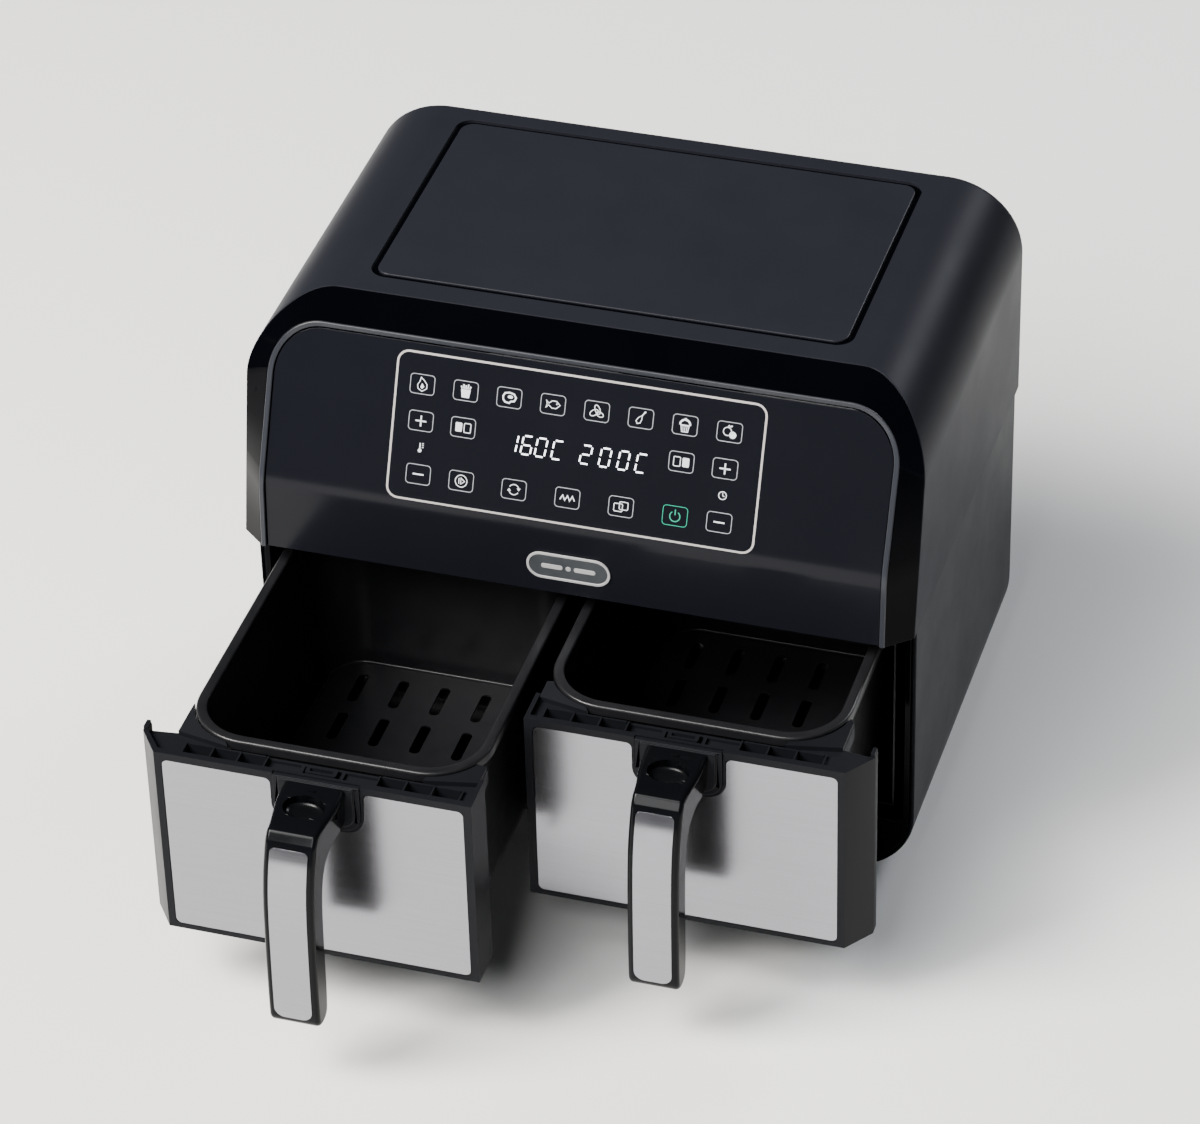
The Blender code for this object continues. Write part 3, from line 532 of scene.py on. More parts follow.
def makeBezel():
    half, top, corner = body["half"], body["top"], body["corner"]
    chamfer, border, panelTop = upper["chamfer"], upper["border"], upper["panelTopZ"]
    lip = bezelWall["lip"]

    def outer(inward):
        return archAt(half - inward, top - inward, corner - inward)

    def lined(inward):
        return archAt(half - chamfer - inward, panelTop - inward, corner - chamfer - inward)

    edge, underEdge = outer(0), outer(bezelWall["edge"])
    line, underLine = lined(0), lined(bezelWall["line"])
    inner, behind = lined(border), lined(border - bezelWall["inner"])
    rows = []
    for i in range(len(edge)):
        face = faceY + faceBack(line[i][1])
        chamferEnd = faceY + satinBack(edge[i][1], edge[i][2])
        section = ((inner[i], face + lip), (inner[i], face), (line[i], face), (edge[i], chamferEnd),
                   (underEdge[i], chamferEnd), (underLine[i], face + bezelWall["lineBack"]),
                   (behind[i], face + lip))
        rows.append([(x, y, z) for (x, z, _), y in section])
    bezel = drape("frontBezel", rows, closed=True, capFirst=True, capLast=True)
    soften(bezel, 0.0006, 3, 16, 50)
    finish(bezel, absGloss, "housing", "gloss_black", "front_bezel")
    # the strip round the touch panel stands a little proud, with a rounded edge on each side
    rows = []
    for i in range(len(edge)):
        face = faceY + faceBack(line[i][1])
        (x0, z0, _), (x1, z1, _) = line[i], inner[i]
        rows.append([(x0 + (x1 - x0) * part, face + behindFace, z0 + (z1 - z0) * part)
                     for part, behindFace in stripSection])
    strip = drape("bezelStrip", rows, closed=True, capFirst=True, capLast=True)
    soften(strip, 0.0002, 2, 20, 60)
    finish(strip, absStrip, "housing", "gloss_black", "front_bezel")


def makeControlPanel():
    clear, thick = 0.0004, 0.002
    half = body["half"] - upper["chamfer"] - upper["border"] - clear
    top = upper["panelTopZ"] - upper["border"] - clear
    radius = body["corner"] - upper["chamfer"] - upper["border"]
    bend, soft = upper["bendZ"], upper["bendSoft"]
    levels = [(half, z) for z in [body["seam"], 0.203, 0.216] + [bend + soft * k / 6 for k in range(-6, 7)]]
    levels += [(half, 0.255), (half, 0.272)] + arc((half - radius, top - radius), radius, 0, 88, 18)
    rows = []
    for x, z in levels:
        y = faceY + faceBack(z) + upper["recess"]
        rows.append([(x, y, z), (x / 3, y, z), (-x / 3, y, z), (-x, y, z)])
    panel = drape("controlPanel", rows)
    thicken(panel, thick, 1 if panel.data.polygons[0].normal.y > 0 else -1)
    soften(panel, 0.0003, 2, 60)
    finish(panel, panelFilm, "housing", "panel_glass", "control_panel")


def ontoPanel(obj):
    # lays flat artwork (x across, y up the slope from the bend, z off the surface) on the leaning panel
    slope = Vector((0, upper["panelTopBack"] - upper["bendBack"], upper["panelTopZ"] - upper["bendZ"]))
    slope.normalize()
    for vertex in obj.data.vertices:
        across, up, lift = vertex.co
        z = upper["bendZ"] + up * slope.z
        y = faceY + faceBack(z) + upper["recess"]
        vertex.co = (across, y - lift * slope.z, z + lift * slope.y)
    return obj


ink = 0.00012  # printed and moulded artwork stands this proud


def ribbon(points, width, closed=False):
    # a line of constant width along a path, mitred at its corners
    left, right = [], []
    count = len(points)
    for i, point in enumerate(points):
        before = points[i - 1] if closed or i else point
        after = points[(i + 1) % count] if closed or i < count - 1 else point
        first, second = Vector(point) - Vector(before), Vector(after) - Vector(point)
        first = (first if first.length else second).normalized()
        second = (second if second.length else first).normalized()
        mitre = (first + second).normalized() if (first + second).length > 0.2 else first
        side = Vector((-mitre.y, mitre.x)) * (width / 2 / max(mitre.dot(first), 0.5))
        left.append((point[0] + side.x, point[1] + side.y, ink))
        right.append((point[0] - side.x, point[1] - side.y, ink))
    strip = drape("ribbon", [left, right], closed=closed)
    return thicken(strip, ink, 0)


def blob(points):
    return slab("blob", points, "XY", 0, ink * 1.5)


def bar(x0, y0, x1, y1, width):
    return ribbon([(x0, y0), (x1, y1)], width)


def place(pieces, x, y):
    for piece in pieces:
        move(piece, (x, y, 0))
    return pieces


mm = 0.001
stroke = 0.45 * mm


def scaled(points):
    return [(x * mm, y * mm) for x, y in points]


def ringPoints(x, y, radius, start=0, end=360, count=20):
    points = arc((x * mm, y * mm), radius * mm, start, end, count)
    return points[:-1] if end - start == 360 else points


def ovalPoints(x, y, halfX, halfY, turn=0, count=20):
    c, s = math.cos(math.radians(turn)), math.sin(math.radians(turn))
    flat = [(halfX * u, halfY * v) for u, v in circle(1, count)]
    return [((x + u * c - v * s) * mm, (y + u * s + v * c) * mm) for u, v in flat]


def keyFrame():
    outline = roundedBox((-7.0 * mm, -5.5 * mm), (7.0 * mm, 5.5 * mm), 1.9 * mm, 4)
    return ribbon(outline, 0.38 * mm, closed=True)


def flame():
    outer = [(0, -4), (-2.4, -2.6), (-2.8, -0.4), (-1.6, 1.4), (-1.0, 3.8), (1.0, 2.2), (2.6, 0.2),
             (2.6, -2.2)]
    inner = [(0, -2.8), (-1.1, -1.6), (-0.2, 0.6), (1.1, -1.2)]
    return [ribbon(scaled(outer), stroke, closed=True), blob(scaled(inner))]


def fries():
    cup = [(-2.1, -3.8), (2.1, -3.8), (2.8, 0.8), (-2.8, 0.8)]
    sticks = [bar(x * mm, 1.1 * mm, (x * 1.25) * mm, top * mm, 0.8 * mm)
              for x, top in ((-2.2, 2.6), (-1.1, 3.6), (0, 3.2), (1.1, 3.8), (2.2, 2.8))]
    return [blob(scaled(cup))] + sticks


def steak():
    outer = [(-3.6, 0.6), (-2.6, 2.4), (0, 2.9), (2.6, 2.3), (3.9, 0.4), (3.0, -1.6), (1.0, -2.0),
             (0.2, -3.0), (-2.2, -2.6), (-3.4, -1.2)]
    return [ribbon(scaled(outer), 0.9 * mm, closed=True), blob(ovalPoints(0.6, 0.5, 1.5, 0.9))]


def fish():
    shape = [(-3.9, 2.0), (-2.4, 0.5), (-0.4, 2.1), (2.0, 2.0), (4.1, 0), (2.0, -2.0), (-0.4, -2.1),
             (-2.4, -0.5), (-3.9, -2.0), (-3.3, 0)]
    return [ribbon(scaled(shape), stroke, closed=True), blob(ovalPoints(2.2, 0.5, 0.45, 0.45, 0, 8))]


def wings():
    return [ribbon(ovalPoints(-1.5, -0.9, 2.6, 1.5, 35), stroke, closed=True),
            ribbon(ovalPoints(0.3, 1.0, 2.7, 1.4, 115), stroke, closed=True),
            ribbon(ovalPoints(1.9, -1.5, 2.1, 1.3, -20), stroke, closed=True)]


def drumstick():
    shape = [(-1.9, -3.2), (-2.6, -1.6), (-1.4, 0.2), (0.7, 1.7), (0.5, -0.9), (-0.3, -2.8)]
    return [ribbon(scaled(shape), stroke, closed=True), bar(0.7 * mm, 1.7 * mm, 1.9 * mm, 3.3 * mm, 0.6 * mm),
            blob(ovalPoints(2.1, 3.5, 0.7, 0.55, 40, 10))]


def cupcake():
    cup = [(-2.3, -0.3), (2.3, -0.3), (1.7, -3.8), (-1.7, -3.8)]
    lines = [bar(x * mm, -0.5 * mm, x * 0.75 * mm, -3.7 * mm, 0.35 * mm) for x in (-1.2, 0, 1.2)]
    dome = ringPoints(0, 0.1, 2.9, 0, 180, 12)
    return [ribbon(scaled(cup), stroke, closed=True), ribbon(dome, 1.0 * mm),
            bar(-2.9 * mm, 0, 2.9 * mm, 0, stroke), blob(ovalPoints(0, 3.3, 0.7, 0.7, 0, 10))] + lines


def fruit():
    return [ribbon(ringPoints(-1.2, 0.2, 2.3), stroke, closed=True), blob(ringPoints(1.9, -1.5, 2.0)),
            bar(-1.2 * mm, 2.5 * mm, -0.4 * mm, 3.9 * mm, 0.5 * mm),
            blob(ovalPoints(0.6, 3.2, 1.0, 0.45, 20, 10))]


def plus():
    return [bar(-3.1 * mm, 0, 3.1 * mm, 0, 0.8 * mm), bar(0, -3.1 * mm, 0, 3.1 * mm, 0.8 * mm)]


def minus():
    return [bar(-3.1 * mm, 0, 3.1 * mm, 0, 0.8 * mm)]


def basketPair(chosen):
    pieces = []
    for x in (-2.5, 2.5):
        outline = roundedBox(((x - 1.9) * mm, -2.6 * mm), ((x + 1.9) * mm, 2.6 * mm), 0.6 * mm, 3)
        pieces.append(blob(outline) if x * chosen > 0 else ribbon(outline, 0.45 * mm, closed=True))
    return pieces


def startStop():
    return [ribbon(ringPoints(0, 0, 3.4), stroke, closed=True),
            bar(-1.3 * mm, -1.6 * mm, -1.3 * mm, 1.6 * mm, stroke),
            ribbon(scaled([(-0.2, -1.7), (2.0, 0), (-0.2, 1.7)]), stroke, closed=True)]


def syncMark():
    pieces = []
    for turn in (0, 180):
        pieces.append(ribbon(ringPoints(0, 0, 2.9, 20 + turn, 150 + turn, 10), stroke))
        c, s = math.cos(math.radians(20 + turn)) * 2.9, math.sin(math.radians(20 + turn)) * 2.9
        sign = 1 if turn == 0 else -1
        pieces.append(blob(scaled([(c - 1.1 * sign, s), (c + 1.1 * sign, s), (c, s - 1.5 * sign)])))
    return pieces


def shakeMark():
    wave = [(-4.2, -1.2), (-2.8, 1.4), (-1.4, -1.4), (0, 1.4), (1.4, -1.4), (2.8, 1.4), (4.2, -1.2)]
    return [ribbon(scaled(wave), 0.6 * mm)]


def dualMark():
    boxes = [scaled(box) for box in (((-4.0, -2.8), (0.9, 1.6)), ((-0.9, -1.6), (4.0, 2.8)))]
    return [ribbon(roundedBox(low, high, 0.7 * mm, 3), stroke, closed=True) for low, high in boxes]


def powerMark():
    return [ribbon(ringPoints(0, -0.3, 2.9, 125, 415, 18), 0.6 * mm), bar(0, 0.4 * mm, 0, 3.6 * mm, 0.6 * mm)]


def thermometer():
    return [blob(ringPoints(0, -1.6, 1.1, 0, 360, 14)), bar(0, -1.0 * mm, 0, 2.6 * mm, 0.7 * mm)] + [
        bar(1.1 * mm, y * mm, 2.1 * mm, y * mm, 0.35 * mm) for y in (0.2, 1.3, 2.4)]


def clock():
    return [ribbon(ringPoints(0, 0, 2.2), 0.45 * mm, closed=True), bar(0, 0, 0, 1.5 * mm, 0.45 * mm),
            bar(0, 0, 1.1 * mm, -0.5 * mm, 0.45 * mm)]


touchKeys = {  # millimetres on the panel: x from the middle, y up from the bend
    "rowTop": 67.9, "rowMiddle": 47.2, "rowLow": 17.0, "firstX": -91.0, "pitch": 25.17,
    "frameLow": (-106.2, 2.0), "frameHigh": (104.9, 85.6), "frameCorner": 6.5, "frameLine": 1.2,
}
digits = {"low": 37.7, "high": 48.1, "width": 5.6, "line": 0.85, "lean": 0.13, "trim": 0.75,
          "groups": ((("1", "6", "0", "C"), (-36.6, -28.1, -19.9, -10.4)),
                     (("2", "0", "0", "C"), (5.9, 16.9, 27.4, 37.7)))}
segmentsOn = {"1": "bc", "6": "acdefg", "0": "abcdef", "2": "abged", "C": "adef"}


def sevenSegments(shape, x):
    half, low, high = digits["width"] / 2, digits["low"], digits["high"]
    middle = (low + high) / 2
    ends = {"a": ((-half, high), (half, high)), "d": ((-half, low), (half, low)),
            "g": ((-half, middle), (half, middle)), "f": ((-half, middle), (-half, high)),
            "b": ((half, middle), (half, high)), "e": ((-half, low), (-half, middle)),
            "c": ((half, low), (half, middle))}
    pieces = []
    for name in segmentsOn[shape]:
        (x0, y0), (x1, y1) = ends[name]
        trim = digits["trim"] / math.hypot(x1 - x0, y1 - y0)  # a gap between neighbouring segments
        across, up = (x1 - x0) * trim, (y1 - y0) * trim
        x0, y0, x1, y1 = x0 + across, y0 + up, x1 - across, y1 - up
        lean = digits["lean"]
        pieces.append(bar((x + x0 + lean * (y0 - middle)) * mm, y0 * mm,
                          (x + x1 + lean * (y1 - middle)) * mm, y1 * mm, digits["line"] * mm))
    return pieces


def makePanelArtwork():
    k = touchKeys
    low, high = scaled([k["frameLow"], k["frameHigh"]])
    outline = ribbon(roundedBox(low, high, k["frameCorner"] * mm, 8), k["frameLine"] * mm, closed=True)
    outline.name = outline.data.name = "panelOutline"
    finish(ontoPanel(outline), silverInkGlow, "housing", "panel_glass")
    columns = [(k["firstX"] + k["pitch"] * i) * mm for i in range(8)]
    top, middle, lowRow = k["rowTop"] * mm, k["rowMiddle"] * mm, k["rowLow"] * mm
    foods = (flame, fries, steak, fish, wings, drumstick, cupcake, fruit)
    keys = [(draw, x, top) for draw, x in zip(foods, columns)]
    keys += [(plus, columns[0] + 1 * mm, middle), (lambda: basketPair(-1), columns[1] + 0.4 * mm, middle),
             (lambda: basketPair(1), columns[6], middle), (plus, columns[7] - 0.4 * mm, middle)]
    keys += [(minus, columns[0] + 2.2 * mm, lowRow), (startStop, columns[1] + 2.1 * mm, lowRow),
             (syncMark, -33.1 * mm, lowRow), (shakeMark, -2.2 * mm, lowRow), (dualMark, 28.6 * mm, lowRow),
             (minus, columns[7] - 0.6 * mm, lowRow)]
    pieces, frames = [], []
    for draw, x, y in keys:
        pieces += place(draw(), x, y)
        frames += place([keyFrame()], x, y)
    finish(ontoPanel(join("keyFrames", frames)), frameInk, "housing", "panel_glass")
    pieces += place(thermometer(), -89.2 * mm, 32.2 * mm) + place(clock(), 85.0 * mm, 32.2 * mm)
    finish(ontoPanel(join("touchSymbols", pieces)), symbolWhite, "housing", "panel_glass")
    power = join("powerSymbol", place(powerMark() + [keyFrame()], 59.5 * mm, 16.7 * mm))
    finish(ontoPanel(power), powerGreen, "housing", "panel_glass")
    lit = []
    for shapes, places in digits["groups"]:
        for shape, x in zip(shapes, places):
            lit += sevenSegments(shape, x)
    finish(ontoPanel(join("displayDigits", lit)), digitWhite, "housing", "panel_glass")


badge = {"half": 0.0243, "low": 0.1967, "high": 0.2143, "rim": 0.0015, "barHalf": 0.0014,
         "bars": ((-0.0095, 0.0062), (0, 0.0015), (0.0095, 0.0062))}


def makeBadge():
    # a pill-shaped plate with a raised bright rim and three plain bars in place of any wording
    half, low, high, rim = badge["half"], badge["low"], badge["high"], badge["rim"]
    middle = (low + high) / 2
    y = faceY + faceBack(middle) + upper["recess"]
    radius = (high - low) / 2 - 0.0001
    plate = slab("badgePlate", roundedBox((-half, low), (half, high), radius, 14), "XZ", y - 0.0010, y)
    inner = roundedBox((-half + rim, low + rim), (half - rim, high - rim), radius - rim, 14)
    combine(plate, slab("badgeField", inner, "XZ", y - past, y - 0.0005))
    soften(plate, 0.00025, 2)
    field = slab("badgeFill", inner, "XZ", y - 0.0006, y - 0.0004)
    bars = []
    tall = badge["barHalf"]
    for x, reach in badge["bars"]:
        outline = roundedBox((x - reach, middle - tall), (x + reach, middle + tall), tall - 0.0001, 5)
        bars.append(soften(slab("badgeBar", outline, "XZ", y - 0.0009, y - 0.0005), 0.0001, 2))
    finish(join("badgeRim", [plate] + bars), silverPaint, "housing", "badge_metal", "badge_plate")
    finish(field, badgeGrey, "housing", "badge_metal", "badge_plate")


# lower body

lower = {"half": 0.193, "low": 0.0053, "front": 0.0253, "frameInset": 0.0029,
         "edgeRoll": ((0.0008, 0), (0.0002, 0.0002), (0, 0.0008)),
         "floorHalf": 0.1223, "floorFront": 0.0397, "floorRear": 0.2453, "floorCorner": 0.008}
bays = {"inner": 0.0035, "outer": 0.1865, "low": 0.0455, "high": 0.1822, "corner": 0.003, "thick": 0.010}


def tubAt(half, low, high, radius):
    count = body["cornerSteps"]
    right = [(half, high), (half, (high + low + radius) / 2)]
    right += arc((half - radius, low + radius), radius, 0, -90, count)
    return right + [(-x, z) for x, z in reversed(right)]


def makeLowerShell():
    seam = body["seam"] - body["gap"]
    outline = tubAt(lower["half"], lower["low"], seam, body["corner"])
    rows = []
    for inward, extra in lower["edgeRoll"]:
        rows.append([(x, faceY + lower["front"] + body["gap"] + extra, z)
                     for x, z in drawnIn(outline, inward, (0, seam))])
    shell = drape("lowerShell", rows + roundedBack(outline, (0, seam)), capLast=True)
    thicken(shell, body["wall"])
    cutRearOpening(shell, rearOpening["low"], rearOpening["lowerTo"])
    half = lower["floorHalf"]
    floorHole = roundedBox((-half, faceY + lower["floorFront"]), (half, faceY + lower["floorRear"]),
                           lower["floorCorner"])
    combine(shell, slab("hole", floorHole, "XY", -past, 2 * past))
    soften(shell, 0.0004, 3, 45)
    finish(shell, absLower, "housing", "lower_satin", "lower_shell")


def makeBayFrame():
    inset = lower["frameInset"]
    outer = tubAt(lower["half"] - inset, lower["low"] + inset, body["seam"] - 0.0008, body["corner"] - inset)
    front = faceY + lower["front"]
    frameSlab = slab("bayFrame", outer, "XZ", front, front + bays["thick"])
    for side in sides.values():
        x0, x1 = sorted((side * bays["inner"], side * bays["outer"]))
        opening = roundedBox((x0, bays["low"]), (x1, bays["high"]), bays["corner"], 5)
        combine(frameSlab, slab("opening", opening, "XZ", front - past, front + 2 * past))
    soften(frameSlab, 0.0006, 3, 45)
    finish(frameSlab, absGloss, "housing", "gloss_black", "bay_frame")


rear = {"half": 0.160, "low": 0.0303, "high": 0.3000, "outer": 0.0020, "thick": 0.0024, "corner": 0.012,
        "ventRows": 6, "ventPitch": 0.010, "ventLow": 0.230, "ventX": 0.080, "ventHalf": 0.040,
        "ventRise": 0.0021, "padHalf": 0.046, "padLow": 0.2225, "padHigh": 0.2875, "cordHole": 0.0083,
        "screwX": 0.1505, "screwZ": (0.042, 0.165, 0.288)}
base = {"corner": 0.008, "ventRows": 7, "ventFront": 0.09, "ventDepth": 0.11, "ventX": 0.065,
        "ventHalf": 0.030, "ventRise": 0.0025, "screwIn": 0.009}
# the strain relief, turned round the lead's bore: radius, and distance from its rear face
glandProfile = ((0.0038, -0.012), (0.0076, -0.012), (0.0079, -0.0117), (0.0079, -0.0026), (0.0098, -0.0024),
                (0.0100, -0.0020), (0.0098, -0.0016), (0.0074, -0.0013), (0.0070, -0.0009), (0.0072, -0.0004),
                (0.0066, 0.0), (0.0044, 0.0), (0.0039, -0.0004), (0.0038, -0.012))
screwHead = {"radius": 0.0032, "rise": 0.0015, "slotHalf": 0.0019, "slotWide": 0.0004}


def turned(name, rings, count=28, capped=True):
    # a profile of (radius, height) pairs turned round the Z axis
    rows = [[(x, y, z) for x, y in circle(r, count)] for r, z in rings]
    return drape(name, rows, closed=True, capFirst=capped, capLast=capped)


turns = {"back": Matrix.Rotation(math.radians(-90), 4, "X"),
         "down": Matrix.Rotation(math.radians(180), 4, "X")}


def makeScrew(centre, facing):
    # a dome head with a cross recess; facing is "back" or "down"
    r, rise = screwHead["radius"], screwHead["rise"]
    dome = ((1, 0), (1, 0.35), (0.94, 0.62), (0.78, 0.86), (0.5, 1), (0.2, 1))
    head = turned("screw", [(r * across, rise * up) for across, up in dome], 20)
    a, b = screwHead["slotHalf"], screwHead["slotWide"]
    for halfX, halfY in ((a, b), (b, a)):
        cut = [(-halfX, -halfY), (halfX, -halfY), (halfX, halfY), (-halfX, halfY)]
        combine(head, slab("cut", cut, "XY", rise * 0.35, rise * 2))
    soften(head, 0.0001, 2, 40)
    head.data.transform(turns[facing])
    return move(head, centre)


def makeRearCover():
    back, half, rise = rearY - rear["outer"], rear["ventHalf"], rear["ventRise"]
    outline = roundedBox((-rear["half"], rear["low"]), (rear["half"], rear["high"]), rear["corner"], 8)
    cover = slab("rearCover", outline, "XZ", back - rear["thick"], back)
    cutters = []
    for side in sides.values():
        middle = side * rear["ventX"]
        reach = rear["padHalf"]
        pad = roundedBox((middle - reach, rear["padLow"]), (middle + reach, rear["padHigh"]), 0.004, 5)
        combine(cover, slab("pad", pad, "XZ", back - 0.0006, back + past))
        for row in range(rear["ventRows"]):
            z = rear["ventLow"] + rear["ventPitch"] * row
            vent = roundedBox((middle - half, z - rise), (middle + half, z + rise), rise - 0.0001, 5)
            cutters.append(slab("vent", vent, "XZ", back - past, back + past))
    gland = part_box("cord_gland")
    x, z = (gland[0].x + gland[1].x) / 2, (gland[0].z + gland[1].z) / 2
    cordHole = arc((x, z), rear["cordHole"], 0, 345, 23)
    cutters.append(slab("cordHole", cordHole, "XZ", back - past, back + past))
    combine(cover, join("vents", cutters))
    soften(cover, 0.0004, 2, 45)
    finish(cover, absLower, "housing", "lower_satin", "rear_cover")
    heads = [makeScrew((side * rear["screwX"], back, height), "back")
             for side in sides.values() for height in rear["screwZ"]]
    finish(join("rearScrews", heads), bareSteel, "housing", "lower_satin", "rear_cover")
    grommet = soften(turned("cordGland", glandProfile, 32, capped=False), 0, smooth=50)
    grommet.data.transform(turns["back"])
    finish(move(grommet, (x, gland[1].y, z)), siliconeRubber, "housing", "rubber", "cord_gland")


def makeBase():
    low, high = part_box("base_plate")
    outline = roundedBox((low.x, low.y), (high.x, high.y), base["corner"], 6)
    plate = slab("basePlate", outline, "XY", low.z, high.z)
    half, rise = base["ventHalf"], base["ventRise"]
    cutters = []
    for side in sides.values():
        x = side * base["ventX"]
        for row in range(base["ventRows"]):
            y = faceY + base["ventFront"] + base["ventDepth"] * (row + 0.5) / base["ventRows"]
            vent = roundedBox((x - half, y - rise), (x + half, y + rise), rise - 0.0001, 5)
            cutters.append(slab("vent", vent, "XY", -past, 2 * past))
    combine(plate, join("vents", cutters))
    soften(plate, 0.0003, 2, 45)
    finish(plate, absLower, "housing", "lower_satin", "base_plate")
    inset = base["screwIn"]
    heads = [makeScrew((x, y, low.z), "down") for x in (low.x + inset, high.x - inset)
             for y in (low.y + inset, high.y - inset)]
    finish(join("baseScrews", heads), bareSteel, "housing", "lower_satin", "base_plate")
    for foot in [name for name in nodes if name.startswith("foot_")]:
        low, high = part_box(foot)
        radius, tall = (high.x - low.x) / 2, high.z - low.z
        rings = [(0.0020, 0.0006), (0.0024, 0.0002), (0.0030, 0), (radius - 0.0016, 0),
                 (radius - 0.0007, 0.0003), (radius - 0.0003, 0.0010), (radius, tall * 0.6),
                 (radius, tall - 0.0002), (radius - 0.0003, tall)]
        pad = soften(turned("footPad" + foot[5:].title().replace("_", ""), rings), 0, smooth=50)
        move(pad, ((low.x + high.x) / 2, (low.y + high.y) / 2, low.z))
        finish(pad, siliconeRubber, "housing", "rubber", foot)


makeTopShell()
makeBezel()
makeControlPanel()
makePanelArtwork()
makeBadge()
makeLowerShell()
makeBayFrame()
makeRearCover()
makeBase()
print("housing made")

# drawers

drawer = {"x": 0.0898, "innerEdge": 0.002, "low": 0.0476, "top": 0.1717, "chamferBack": 0.0163,
          "corner": 0.012, "plateLow": 0.0510, "plateTop": 0.1668, "notchHalf": 0.0265, "notchLow": 0.1385,
          "seat": 0.0002}
rim = {"half": 0.0848, "front": 0.0160, "length": 0.224, "corner": 0.035, "top": 0.1752, "floor": 0.0570}
# the deck behind the front: its moulded pockets, the ribs between them, the latch slot and the wing's hook
deck = {"low": 0.0125, "drop": 0.0034, "pockets": ((0.033, 0.0465), (0.0485, 0.062), (0.064, 0.078)),
        "pocketY": (0.0050, 0.0138), "pocketDeep": 0.0090, "besideLatch": (0.0125, 0.0310, 0.0052),
        "latchPocket": (-0.0105, 0.0105, 0.0060), "latchY": (0.0056, 0.0138),
        "ribs": (0.0320, 0.0475, 0.0630, 0.0790), "ribY": (0.0044, 0.0144), "ribHalf": 0.0005,
        "ribDrop": 0.0016, "longRibY": (0.0136, 0.0147), "longRibLow": 0.0115, "longRibDrop": 0.0019}
latch = {"half": 0.0088, "y": (0.0070, 0.0128), "low": 0.008, "drop": 0.0016,
         "slotHalf": 0.0066, "slotY": (0.0086, 0.0112), "slotDeep": 0.0055}
hook = {"root": 0.0024, "tip": 0.0002, "y": (0.0170, 0.0228), "low": 0.002, "rise": 0.0022}


def drawerSpot(side, name):
    # the spot that a drawer's own coordinates start from: its middle, and the front of its skin
    return Vector((side * drawer["x"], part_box("steel_plate_" + name)[0].y - drawer["seat"], 0))


def frontOutlines(side):
    inner = drawer["innerEdge"] - drawer["x"]
    outer = body["half"] - drawer["x"]
    corner = outer - drawer["corner"]
    wing, chamfer = 0.0026, drawer["chamferBack"]
    back = chamfer + 0.0070
    thin = [(inner, 0), (corner, 0), (outer, chamfer), (outer, back), (outer - wing, back),
            (outer - wing, chamfer + 0.0010), (corner - 0.0012, 0.0040), (inner + wing, 0.0040),
            (inner + wing, back), (inner, back)]
    radius = rim["corner"] + 0.0004
    right = (rim["half"] - rim["corner"], rim["front"] + rim["corner"])
    left = (-right[0], right[1])
    outerY = right[1] - radius * math.sin(math.radians(10))
    innerY = right[1] - radius * math.sin(math.radians(25))
    outerCheek, innerCheek = rim["half"] + 0.0018, -rim["half"] - 0.0005
    ledge = [(inner + 0.0006, 0.0015), (corner - 0.0010, 0.0015), (outer - 0.0014, 0.0170),
             (outer - 0.0014, 0.0205), (outerCheek, 0.0225), (outerCheek, outerY),
             *arc(right, radius, -10, -90, 16), *arc(left, radius, -90, -155, 16),
             (innerCheek, innerY), (innerCheek, back), (inner + 0.0006, back)]
    # the raised gussets that hug the basket's two front corners
    outerWall, innerWall = outerCheek - 0.0002, innerCheek + 0.0002
    gussets = [[(right[0] + 0.006, 0.0152), (outerWall, 0.0210), (outerWall, outerY - 0.001),
                *arc(right, radius + 0.0004, -12, -78, 12)],
               [(left[0] - 0.006, 0.0152), *arc(left, radius + 0.0004, -102, -150, 12),
                (innerWall, innerY - 0.001), (innerWall, 0.0210)]]
    return [[(side * x, y) for x, y in outline] for outline in (thin, ledge, *gussets)]


def plateOutline(side, grow):
    inner = drawer["innerEdge"] + 0.0048 - drawer["x"] - grow
    outer = body["half"] - 0.0163 - drawer["x"] + grow
    low, high = drawer["plateLow"] - grow, drawer["plateTop"] + grow
    radius, bend = 0.0035, 0.012
    half, notchLow = drawer["notchHalf"] - grow, drawer["notchLow"]
    outline = (arc((outer - radius, low + radius), radius, -90, 0, 6)
               + arc((outer - radius, high - radius), radius, 0, 90, 6)
               + arc((half + radius, high - radius), radius, 90, 180, 6)
               + arc((half - bend, notchLow + bend), bend, 0, -90, 12)
               + arc((-half + bend, notchLow + bend), bend, -90, -180, 12)
               + arc((-half - radius, high - radius), radius, 0, 90, 6)
               + arc((inner + radius, high - radius), radius, 90, 180, 6)
               + arc((inner + radius, low + radius), radius, 180, 270, 6))
    return [(side * x, z) for x, z in outline]


def uOutline(drawn, top):
    # the U-shaped seat of the handle, drawn in by this much from the notch in the steel
    half, low = drawer["notchHalf"] - drawn, drawer["notchLow"] + drawn
    bend = max(0.0128 - drawn, 0.003)
    return ([(half, top)] + arc((half - bend, low + bend), bend, 0, -90, 10)
            + arc((-half + bend, low + bend), bend, -90, -180, 10) + [(-half, top)])


